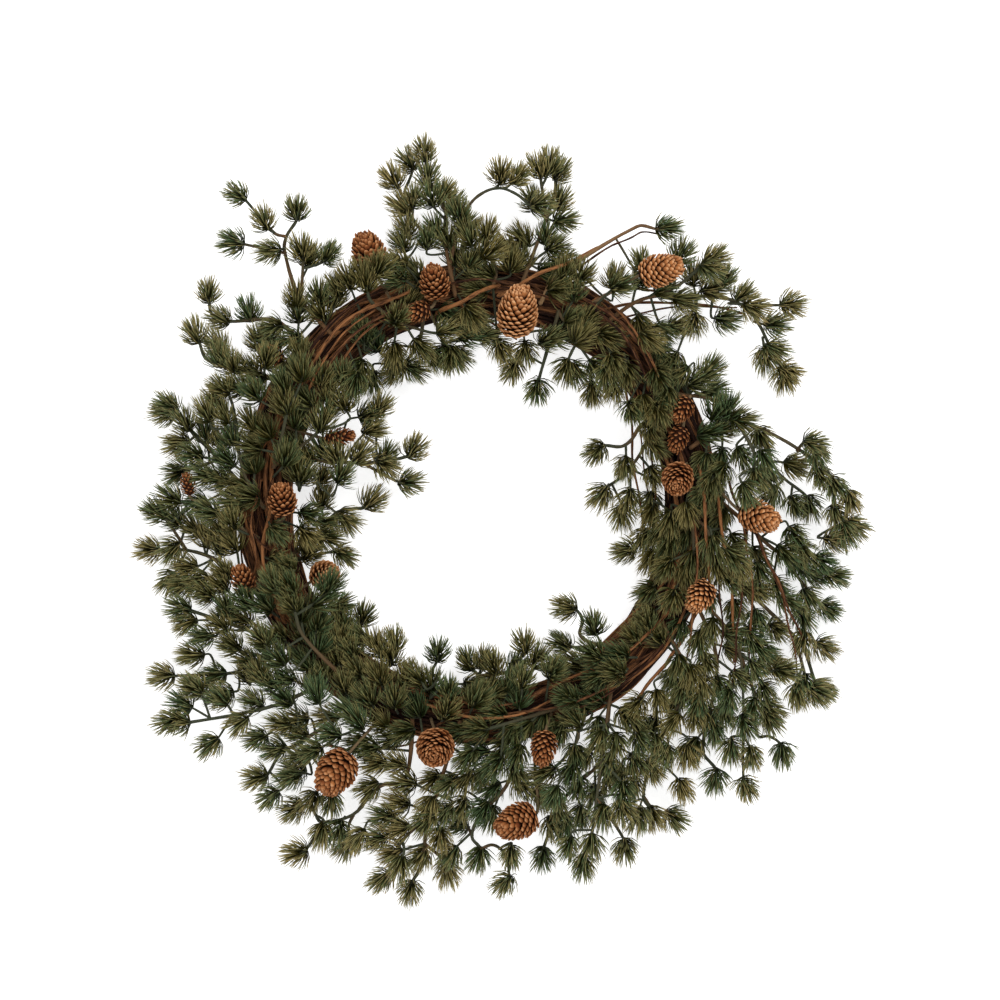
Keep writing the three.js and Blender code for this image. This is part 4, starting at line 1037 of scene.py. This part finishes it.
def cane_bundle(canes, offset, radius, windings, seed):
    """A layer of canes, about evenly placed round the middle line and of uneven thickness."""
    surface = Surface()
    random = np.random.default_rng(seed)
    for i in range(canes):
        place = (i + random.uniform(-0.3, 0.3)) / canes * TURN
        thickness = radius * random.uniform(0.6, 1.15)
        cane(surface, seed + i, place, offset, thickness, windings, random.uniform(0, TURN))
    return surface


def vine_end(end):
    """The last joint of a loose vine, sunk among the canes, where it ends over them."""
    return [end - UP * VINE_END_SUNK] if abs(off_ring(end)) < RING_SPAN else []


def loose_vines():
    """Bare vines, smooth lines through their places, that bow upwards from the canes, or from as
    high as the ring's middle line where there is no cane under them."""
    surface = Surface()
    for i, (radius, tone, rise, *places) in enumerate(LOOSE_VINES):
        joints = [on_grid(place) for place in places]
        for k, joint in enumerate(joints):
            bow = math.sin(math.pi * (k + 0.4) / (len(places) - 0.2))
            joint[2] = max(ring_top(joint), RING_CENTRE[2]) + rise * bow + radius
        joints = [*vine_end(joints[0]), *joints, *vine_end(joints[-1])]
        line = smooth_line(joints, VINE_PARTS)
        share = np.linspace(0, 1, len(line))
        sway = np.sin(share[:, None] * (19, 13, 0) + (i, 2 * i, 0)) * VINE_SWAY
        radii = radius * (1 - VINE_TAPER * share) * (1 + 0.1 * np.sin(share * 47 + i))
        vine = rod(line + sway, radii, VINE_SIDES, VINE_SEED + i)
        surface.add(*vine, (tone, BARK_REACH, BARK))
    return surface


# ---- Sprays ----

ROOT_SUNK = 9.0  # a root reaches this far down among the canes
NEEDLES = 120  # in one tuft
NEEDLE_LENGTH = 18.0
NEEDLE_LENGTHS = (0.8, 1.08)  # from the shortest to the longest in a tuft, of that
NEEDLE_RADIUS = 0.47
NEEDLE_SHARES = np.array([0, 0.4, 0.78, 1])  # where a needle has its rings and its point
NEEDLE_SWELL = np.array([0.8, 1.0, 0.75])
NEEDLE_OUT = 0.6  # a needle's root is this far from the twig's middle line
NEEDLE_TAIL = 0.3
NEEDLED_BEHIND = 3.0  # needles grow from this far behind a tuft's base
NEEDLED_AHEAD = 8.5  # to this far ahead of it
NEEDLE_TONES, NEEDLE_TURNS = 0.22, 0.25  # how far they stray
# How far a needle leans from the twig, in degrees, as it sets out: at the tuft's back and at its
# front, and how much it strays. Then the same for the needle's tip.
FIRST_LEANS, FIRST_SPREAD = (86, 32), 9
LAST_LEANS, LAST_SPREAD = (26, 8), 11
LEAST_TUFT, MOST_TUFT = (0.88, 0.75), (1.1, 1.3)  # its size, and how open it is
TUFT_TIP_PAINTED_SHADE = (0.76, 1.06)  # painted shade on a tuft's tips: darker over the ring, where shade falls among the crowded foliage, and full in the open
PAINTED_SHADE_FADE = 110.0  # how far from the ring's middle line the painted shade on tuft tips fades out
TUFT_SEED = 5000
LEAST_HUE, MOST_HUE = (0.3, 0.1), (0.7, 0.5)  # of a spray's needles and of its bark
HUE_STRAY = 0.6
OCHRE_SPRAYS = ("arch",)  # whose bark is paler than the others'
ROOT_STEM = ((2.1, 1.25), (0, 0.8), 7)  # radii and reaches, from start to tip, and sides
FORK_STEM = ((1.5, 1.1), (0.3, 0.9), 7)
TWIG = ((1.15, 0.95), (0.6, 1), 6)
TWIG_TONE = 0.6  # of its spray's bark
KNOB_SIZE, KNOB_WAVES, FINE_WAVES = 0.12, (14, 30), 61  # on a shoot
NARROWING, NARROWED = 0.86, 0.55  # from this share of its length, to this share of its width


def brush(surface, base, axis, seed, tone):
    """A tuft: needles rooted on a spiral round the last of the twig, from behind its base to ahead
    of it. Each sets out to the side and bends forwards, less so the further ahead it is rooted, so
    that the tuft is a bulb. A needle narrows to a point through three rings of three."""
    random = np.random.default_rng(seed)
    share = (np.arange(NEEDLES) + 0.5) / NEEDLES
    turn = np.arange(NEEDLES) * GOLDEN_TURN + random.normal(0, NEEDLE_TURNS, NEEDLES)
    size, opening = random.uniform(LEAST_TUFT, MOST_TUFT)
    start = lerp(*FIRST_LEANS, share) + random.normal(0, FIRST_SPREAD, NEEDLES)
    end = lerp(*LAST_LEANS, share) * opening + random.normal(0, LAST_SPREAD, NEEDLES)
    reach = NEEDLE_LENGTH * size * random.uniform(*NEEDLE_LENGTHS, NEEDLES)
    out = square_to(axis, turn)
    along = lerp(-NEEDLED_BEHIND, NEEDLED_AHEAD, share)
    root = base + axis * along[:, None] + out * NEEDLE_OUT
    lean = np.radians(start[:, None] + (end - start)[:, None] * NEEDLE_SHARES / 2)[..., None]
    way = axis * np.cos(lean) + out[:, None] * np.sin(lean)
    line = root[:, None] + way * (reach[:, None] * NEEDLE_SHARES)[..., None]
    side = np.cross(axis, out)
    around = turned(side[:, None], np.cross(way[:, 2], side)[:, None], np.arange(3) / 3 * TURN)
    rings = line[:, :3, None] + around[:, None] * (NEEDLE_RADIUS * NEEDLE_SWELL)[:, None, None]
    tones = np.clip(tone + random.normal(0, NEEDLE_TONES, NEEDLES), 0, 1)
    # Painted shade: tufts nearer the ring get darker tips, standing in for the shade among the
    # crowded foliage there.
    shade = lerp(*TUFT_TIP_PAINTED_SHADE, min(1, abs(off_ring(base)) / PAINTED_SHADE_FADE))
    tails = line[:, 0] - way[:, 0] * NEEDLE_TAIL
    surface.add_many(rings, tails, line[:, 3], tones, NEEDLE_SHARES[:3], shade)


def shoot(surface, row, make, hue, bark_tone):
    """One stem or twig, knobbly and narrower at its tip, with the tuft there."""
    radii, span, sides = make
    path, axis, seed = row["path"], row["axis"], row["shoot"]
    joints = [path[0] - UP * ROOT_SUNK, *path] if row["first"] else path
    line = smooth_line([*joints, path[-1] + axis * (NEEDLED_AHEAD + 1)])
    share = np.linspace(0, 1, len(line))
    random = np.random.default_rng(seed)
    knobs = KNOB_SIZE * np.sin(share * random.uniform(*KNOB_WAVES) + random.uniform(0, 6))
    thickness = lerp(*radii, share) * (1 + knobs * np.sin(share * FINE_WAVES))
    thickness = thickness * lerp(1, NARROWED, ramp(share, NARROWING, 1))
    points, faces, grains = rod(line, thickness, sides, seed)
    looks = np.full(points.shape, float(BARK))
    looks[:, 0] = bark_tone
    looks[:, 1] = np.concatenate([np.repeat(lerp(*span, share), sides), span])
    surface.add(points, faces, grains, looks)
    tone = hue + HUE_STRAY * (np.random.default_rng(seed).uniform() - 0.5)
    brush(surface, path[-1], axis, seed + TUFT_SEED, tone)


def spray(name):
    """One spray: its stems, thick at the root, and its twigs, each with its tuft."""
    surface = Surface()
    hue, bark_tone = np.random.default_rng(spray_pieces[name]).uniform(LEAST_HUE, MOST_HUE)
    if name in OCHRE_SPRAYS:
        bark_tone = 1.0
    for row in spray_stems[name]:
        shoot(surface, row, ROOT_STEM if row["first"] else FORK_STEM, hue, bark_tone)
    for row in spray_twigs[name]:
        shoot(surface, row, TWIG, hue, bark_tone * TWIG_TONE)
    return surface


# ---- Cones ----

# Cones not listed here take the dark tone, which is partly their own darker colour and partly painted
# shade for cones that lie in shade, such as cone_left_low.
PALE_CONES = ("cone_top", "cone_top_right", "cone_right", "cone_right_low", "cone_inner_left")
PALE_TONE, DARK_AND_SHADED_TONE, SCALE_TONES = 0.72, 0.3, 0.15  # and how far the scales stray
SCALE_AREA, FEWEST_SCALES, MOST_SCALES = 6, 70, 200
SCALE_SHARES = np.array([0, 0.35, 0.65, 0.88, 1.0])  # where a scale has its rings
SCALE_WIDTHS = np.array([0.45, 0.8, 1.0, 0.85, 0.4]) * 0.5
SCALE_DEPTHS = np.array([0.5, 0.5, 0.6, 0.75, 0.5]) * 0.5
SCALE_LEANS, SCALE_SPREAD = (84, 16), 4  # from the axis, at the cone's base and at its tip
LEAST_SINE = 0.35  # of the lean, where a scale's reach is worked out
SCALE_REACHES, SCALE_BROAD, SCALE_DEEP = (0.16, 0.36), 0.22, 0.075  # of the cone's width
NARROWEST = 0.55  # of a scale's breadth, at the cone's tip
SCALE_CURL, SCALE_SIDES = 0.22, 6
SCALE_TAIL, SCALE_NOSE = 0.3, 0.2
SCALED_SHARE, CORE_SHARE = 0.86, 0.9  # of the cone's length, from its base
TIP_AHEAD = 0.04  # of the cone's length: a scale's tip is that far ahead of its root
OUTLINE = 1.16  # the tips reach this much beyond the cone's measured width
CORE_WIDTH, CORE_MARGIN, ROOT_SHARE = 0.3, 0.4, 0.9  # scales are rooted inside the core
STALK_SUNK = 4.0  # into the cone
STALK_RADIUS, STALK_SIDES, CORE_SIDES, CORE_RINGS = 1.35, 7, 10, 12
STALK_LOOK, CORE_LOOK = (0.4, 0.3, 1.0), (0.1, 0.0, 0.0)


def swell(share):
    """A cone's half width at a share of its length: blunt at the base and narrowing to the tip."""
    blunt = np.sin(math.pi * np.minimum(0.5, 0.18 + share * 0.8))
    return blunt * np.sqrt(np.maximum(0, 1 - share**2.2))


def scales(surface, base, axis, long, wide, seed, tone):
    """A cone's scales, on a golden spiral up its core. A scale is a spoon: rings of six, flattened
    across, widest near the end, whose middle line curls outwards."""
    random = np.random.default_rng(seed)
    number = int(np.clip(long * wide / SCALE_AREA, FEWEST_SCALES, MOST_SCALES))
    share = (np.arange(number) + 0.5) / number
    out = square_to(axis, np.arange(number) * GOLDEN_TURN)
    core = CORE_WIDTH * wide * swell(share) * ROOT_SHARE
    lean = np.radians(lerp(*SCALE_LEANS, share) + random.normal(0, SCALE_SPREAD, number))
    way = axis * np.cos(lean)[:, None] + out * np.sin(lean)[:, None]
    outline = wide / 2 * OUTLINE * swell(np.minimum(share + TIP_AHEAD, 1))
    shortest, longest = SCALE_REACHES
    reach = (outline - core) / np.maximum(np.sin(lean), LEAST_SINE)
    reach = np.clip(reach, shortest * wide, longest * wide)[:, None, None]
    root = base + axis * (share * long * SCALED_SHARE)[:, None] + out * core[:, None]
    flat = unit(np.cross(axis, out))
    lift = np.cross(flat, way)[:, None]
    t = SCALE_SHARES[:, None]
    line = root[:, None] + reach * (way[:, None] * t - lift * (SCALE_CURL * t**2))
    broad = (SCALE_BROAD * wide * lerp(1.0, NARROWEST, share))[:, None, None, None]
    corner = np.arange(SCALE_SIDES) / SCALE_SIDES * TURN
    width = (np.cos(corner) * SCALE_WIDTHS[:, None])[None, :, :, None]
    depth = (np.sin(corner) * SCALE_DEPTHS[:, None])[None, :, :, None]
    across = flat[:, None, None] * width * broad
    rings = line[:, :, None] + across + lift[:, None] * depth * SCALE_DEEP * wide
    tones = np.clip(tone + random.normal(0, SCALE_TONES, number), 0, 1)
    ends = line[:, 0] - way * SCALE_TAIL, line[:, -1] + way * SCALE_NOSE
    surface.add_many(rings, *ends, tones, SCALE_SHARES)


def cone_piece(name):
    """One or two cones with their stalks."""
    surface = Surface()
    # The dark tone is partly painted shade, for cones that lie in shade.
    tone = PALE_TONE if name in PALE_CONES else DARK_AND_SHADED_TONE
    for i, plan in enumerate(cone_plans[name]):
        path, base, axis = plan["path"], plan["base"], plan["axis"]
        long, wide = plan["long"], plan["wide"]
        seed = len(SPRAYS) + 10 * len(name) + i
        joints = [path[0] - UP * (ROOT_SUNK + STALK_FOOT), *path] if plan["rooted"] else path
        line = smooth_line([*joints, base + axis * STALK_SUNK])
        stalk = rod(line, np.full(len(line), STALK_RADIUS), STALK_SIDES, seed)
        surface.add(*stalk, STALK_LOOK)
        share = np.linspace(0, 0.95, CORE_RINGS)
        line = base + axis * (share * long * CORE_SHARE)[:, None]
        core = rod(line, CORE_WIDTH * wide * swell(share) + CORE_MARGIN, CORE_SIDES, seed)
        surface.add(*core, CORE_LOOK)
        scales(surface, base, axis, long, wide, seed, tone)
    return surface

# ---- Finishes ----


class Value:
    """An output of a node in a finish. Sums, differences, products and powers of values add Math
    nodes."""

    def __init__(self, finish, socket):
        self.finish, self.socket = finish, socket

    def maths(self, operation, *terms):
        return self.finish.node("ShaderNodeMath", {"operation": operation}, dict(enumerate(terms)))

    def __add__(self, other):
        return self.maths("ADD", self, other)

    def __sub__(self, other):
        return self.maths("SUBTRACT", self, other)

    def __rsub__(self, other):
        return self.maths("SUBTRACT", other, self)

    def __mul__(self, other):
        return self.maths("MULTIPLY", self, other)

    def __pow__(self, other):
        return self.maths("POWER", self, other)

    __radd__ = __add__
    __rmul__ = __mul__

    def between(self, low, high):
        """0 where the value is below low and 1 where it is above high, with a smooth step."""
        settings = {"interpolation_type": "SMOOTHSTEP"}
        inputs = {"Value": self, "From Min": low, "From Max": high}
        return self.finish.node("ShaderNodeMapRange", settings, inputs)


class Finish:
    """A node material: a Principled shader, whose constants are set on its own sockets, and the
    nodes that vary its colour, roughness and relief."""

    def __init__(self, name, constants):
        self.material = bpy.data.materials.new(name)
        self.material.use_nodes = True
        self.tree = self.material.node_tree
        self.shader = next(node for node in self.tree.nodes if node.type == "BSDF_PRINCIPLED")
        for title, value in constants.items():
            self.shader.inputs[title].default_value = value

    def node(self, kind, settings=None, inputs=None, output=0):
        """Adds a node of a type: its settings first, then the values or links of its sockets."""
        node = self.tree.nodes.new(kind)
        for title, value in (settings or {}).items():
            setattr(node, title, value)
        for title, value in (inputs or {}).items():
            self.put(self.found(node.inputs, title), value)
        return Value(self, self.found(node.outputs, output))

    def found(self, sockets, title):
        if isinstance(title, int):
            return sockets[title]
        named = (socket for socket in sockets if title in (socket.identifier, socket.name))
        return next(socket for socket in named if socket.enabled)

    def put(self, socket, value):
        if isinstance(value, Value):
            self.tree.links.new(value.socket, socket)
        elif isinstance(value, tuple) and len(value) == 3 and socket.type == "RGBA":
            socket.default_value = (*value, 1)
        else:
            socket.default_value = value

    def mix(self, share, first, second):
        """A colour that goes from the first to the second as the share goes from 0 to 1."""
        inputs = {"Factor_Float": share, "A_Color": first, "B_Color": second}
        return self.node("ShaderNodeMix", {"data_type": "RGBA"}, inputs, "Result_Color")

    def look(self):
        """The tone, reach and wood of each point."""
        vector = self.node("ShaderNodeAttribute", {"attribute_name": "look"}, output="Vector")
        parts = self.node("ShaderNodeSeparateXYZ", None, {0: vector})
        return [Value(self, socket) for socket in parts.socket.node.outputs]

    def grain(self, stretch):
        """Places along and across the shoot, drawn out along it by the stretch."""
        vector = self.node("ShaderNodeAttribute", {"attribute_name": "grain"}, output="Vector")
        inputs = {0: vector, 1: (1 / stretch, 1, 1)}
        return self.node("ShaderNodeVectorMath", {"operation": "MULTIPLY"}, inputs, "Vector")

    def spots(self):
        """Places on the piece, in metres."""
        return self.node("ShaderNodeTexCoord", output="Object")

    def noise(self, places, scale, detail=3.0, roughness=0.6):
        inputs = {"Vector": places, "Scale": scale, "Detail": detail, "Roughness": roughness}
        return self.node("ShaderNodeTexNoise", None, inputs)

    def finish(self, colour, roughness, relief, depth):
        """Links what varies, with the relief as a bump of that depth in metres."""
        self.put(self.shader.inputs["Base Color"], colour)
        self.put(self.shader.inputs["Roughness"], roughness)
        inputs = {"Height": relief, "Distance": depth, "Strength": 0.8}
        self.put(self.shader.inputs["Normal"], self.node("ShaderNodeBump", None, inputs))
        return self.material


def bark_finish():
    """Dark reddish-brown vine bark with pale worn ridges, in streaks along each cane."""
    finish = Finish("vine_bark", {"Specular IOR Level": 0.1})
    tone, _, _ = finish.look()
    streaks = finish.noise(finish.grain(9), 900, 4, 0.65)
    patches = finish.noise(finish.grain(2), 45, 2)
    dark = finish.mix(patches.between(0.35, 0.7), (0.008, 0.003, 0.002), (0.026, 0.009, 0.005))
    worn = finish.mix(tone, (0.045, 0.018, 0.010), (0.240, 0.100, 0.036))
    ridges = (streaks + tone * 0.22).between(0.50, 0.80)
    colour = finish.mix(ridges, dark, worn)
    return finish.finish(colour, 0.86 - ridges * 0.2, streaks, 0.0012)


def foliage_finish():
    """Evergreen needles, near black at the root as painted shade of the tuft's crowded middle and
    paler at the tip, each of its own tone, their tips also darker near the ring as painted shade,
    on twigs that pass from dull green near their tufts to ochre and brown bark at their roots."""
    finish = Finish("evergreen_needles", {"Specular IOR Level": 0.12})
    tone, reach, wood = finish.look()
    drift = finish.noise(finish.spots(), 22, 2)
    # Painted shade: the near-black colour at a needle's root stands for the shade inside its tuft.
    shaded_root = finish.mix(tone, (0.010, 0.017, 0.002), (0.028, 0.023, 0.001))
    pale = finish.mix(tone, (0.098, 0.160, 0.070), (0.350, 0.280, 0.105))
    needle = finish.mix((reach**1.5 + (drift - 0.5) * 0.5).between(0.0, 1.0), shaded_root, pale)
    dry = finish.mix(tone, (0.120, 0.085, 0.040), (0.300, 0.200, 0.110))
    needle = finish.mix((reach + drift * 0.4).between(0.95, 1.35), needle, dry)
    streaks = finish.noise(finish.grain(6), 1100, 3)
    young = finish.mix(streaks, (0.014, 0.020, 0.011), (0.060, 0.062, 0.036))
    old = finish.mix(streaks, (0.045, 0.022, 0.010), (0.190, 0.100, 0.045))
    ochre = finish.mix(streaks, (0.160, 0.080, 0.030), (0.420, 0.270, 0.140))
    twig = finish.mix((reach - tone * 0.4).between(0.05, 0.5), old, young)
    twig = finish.mix((tone - reach * 1.2).between(0.3, 0.65), twig, ochre)
    colour = finish.mix(wood, needle, twig)
    return finish.finish(colour, 0.55 + wood * 0.25, streaks * wood, 0.0008)


def cone_finish():
    """Dry cone scales: dark inside, orange-brown outside and pale at the rim, on a bark stalk."""
    finish = Finish("cone_scales", {"Specular IOR Level": 0.12})
    tone, reach, wood = finish.look()
    fibres = finish.noise(finish.spots(), 900, 3)
    inner = finish.mix(tone, (0.022, 0.006, 0.002), (0.060, 0.016, 0.005))
    outer = finish.mix(tone, (0.110, 0.027, 0.006), (0.380, 0.145, 0.045))
    rim = finish.mix(tone, (0.200, 0.066, 0.018), (0.540, 0.290, 0.140))
    scale = finish.mix(reach.between(0.35, 0.82), inner, outer)
    scale = finish.mix((reach + (fibres - 0.5) * 0.3).between(0.84, 1.02), scale, rim)
    stalk = finish.mix(fibres, (0.060, 0.045, 0.022), (0.200, 0.130, 0.070))
    colour = finish.mix(wood, scale, stalk)
    return finish.finish(colour, 0.62 + fibres * 0.2, fibres, 0.0006)


bark, foliage, cone_brown = bark_finish(), foliage_finish(), cone_finish()

# ---- The pieces ----

# Each layer of canes: how many there are, how far from the ring's middle line, how thick, how often
# they wind about it, and their seed
CANE_LAYERS = {
    "vine_canes_outer": (38, 20.6, 1.9, 1, 100),
    "vine_canes_crossing": (7, 22.2, 1.3, -3, 500),
    "vine_canes_under": (14, 18.0, 2.4, 1, 600),
    "vine_canes_inner": (14, 14.4, 2.7, -1, 200),
}
# Inside the inner layer, a few canes lie about the middle line and one along it.
HEART_CANES, HEART_SEED = 7, 300
HEART_CANE = (8, 3.4, 1)  # how far off the line, how thick, and its windings
HEART_STEP = 0.9  # from the start of one to the start of the next, in radians round the ring
MIDDLE_CANE = (320, 0, 1, 4.5, 1, 2)  # seed, place, how far off, how thick, windings and start

layers = {layer_name: cane_bundle(*layer) for layer_name, layer in CANE_LAYERS.items()}
for heart in range(HEART_CANES):
    place = heart / HEART_CANES * TURN
    cane(layers["vine_canes_inner"], HEART_SEED + heart, place, *HEART_CANE, heart * HEART_STEP)
cane(layers["vine_canes_inner"], *MIDDLE_CANE)
layers["vines_loose"] = loose_vines()

for layer_name, layer in layers.items():
    layer.piece(layer_name, bark, "bark", *CANES)
for spray_name in SPRAYS:
    spray(spray_name).piece(f"fine_{spray_name}", foliage, "foliage", f"spray_{spray_name}")
for cone_name in CONES:
    cone_piece(cone_name).piece(f"fine_{cone_name}", cone_brown, "cone_scales", cone_name)

# ---- Floor, light and camera, in metres ----

FLOOR_SIZE, FLOOR_DROP = 6.0, 0.001
FLOOR_LOOK = {
    "Base Color": (0.6, 0.6, 0.6, 1.0),
    "Roughness": 0.9,
    "Emission Color": (1, 1, 1, 1),
    "Emission Strength": 0.7,
}
SOFT_BOXES = {  # place, side and watts
    "key_light": ((0.9, 1.1, 2.4), 1.4, 42),
    "fill_light": ((-1.2, -0.5, 2.2), 1.6, 14),
}
CAMERA_LENS, SENSOR = 180.0, 36.0  # in millimetres
FARTHEST = 20
PICTURE_MIDDLE = (500, 499)  # on the grid
PICTURE_SIDE = 1000 * GRID * MM  # the camera's view of the surface, edge to edge
VIEW_LEVEL = 0.020  # the height that the view's scale is right for


def floor():
    """A plain pale floor just under the wreath."""
    half = FLOOR_SIZE / 2
    mesh = bpy.data.meshes.new("floor")
    corners = [(x * half, y * half, -FLOOR_DROP) for x, y in ((-1, -1), (1, -1), (1, 1), (-1, 1))]
    mesh.from_pydata(corners, [], [(0, 1, 2, 3)])
    mesh.materials.append(Finish("pale_floor", FLOOR_LOOK).material)
    made = bpy.data.objects.new("floor", mesh)
    bpy.context.scene.collection.objects.link(made)


def soft_light(name, place, size, power):
    """A square soft box that faces the middle of the wreath."""
    lamp = bpy.data.lights.new(name, "AREA")
    lamp.size = size
    lamp.energy = power
    made = bpy.data.objects.new(name, lamp)
    made.location = place
    made.rotation_euler = (-Vector(place)).to_track_quat("-Z", "Y").to_euler()
    bpy.context.scene.collection.objects.link(made)


def studio():
    """An even pale surround with two soft boxes overhead, and the camera straight above."""
    world = bpy.data.worlds.new("studio")
    world.use_nodes = True
    background = next(node for node in world.node_tree.nodes if node.type == "BACKGROUND")
    background.inputs["Color"].default_value = (1, 1, 1, 1)
    background.inputs["Strength"].default_value = 1.0
    bpy.context.scene.world = world
    for name, soft_box in SOFT_BOXES.items():
        soft_light(name, *soft_box)
    bpy.context.scene.view_settings.view_transform = "Standard"
    camera = bpy.data.cameras.new("camera")
    camera.lens = CAMERA_LENS
    camera.sensor_width = SENSOR
    camera.clip_end = FARTHEST
    made = bpy.data.objects.new("camera", camera)
    middle = on_grid(PICTURE_MIDDLE) * MM
    made.location = (middle[0], middle[1], VIEW_LEVEL + PICTURE_SIDE * CAMERA_LENS / SENSOR)
    bpy.context.scene.collection.objects.link(made)
    bpy.context.scene.camera = made


floor()
studio()
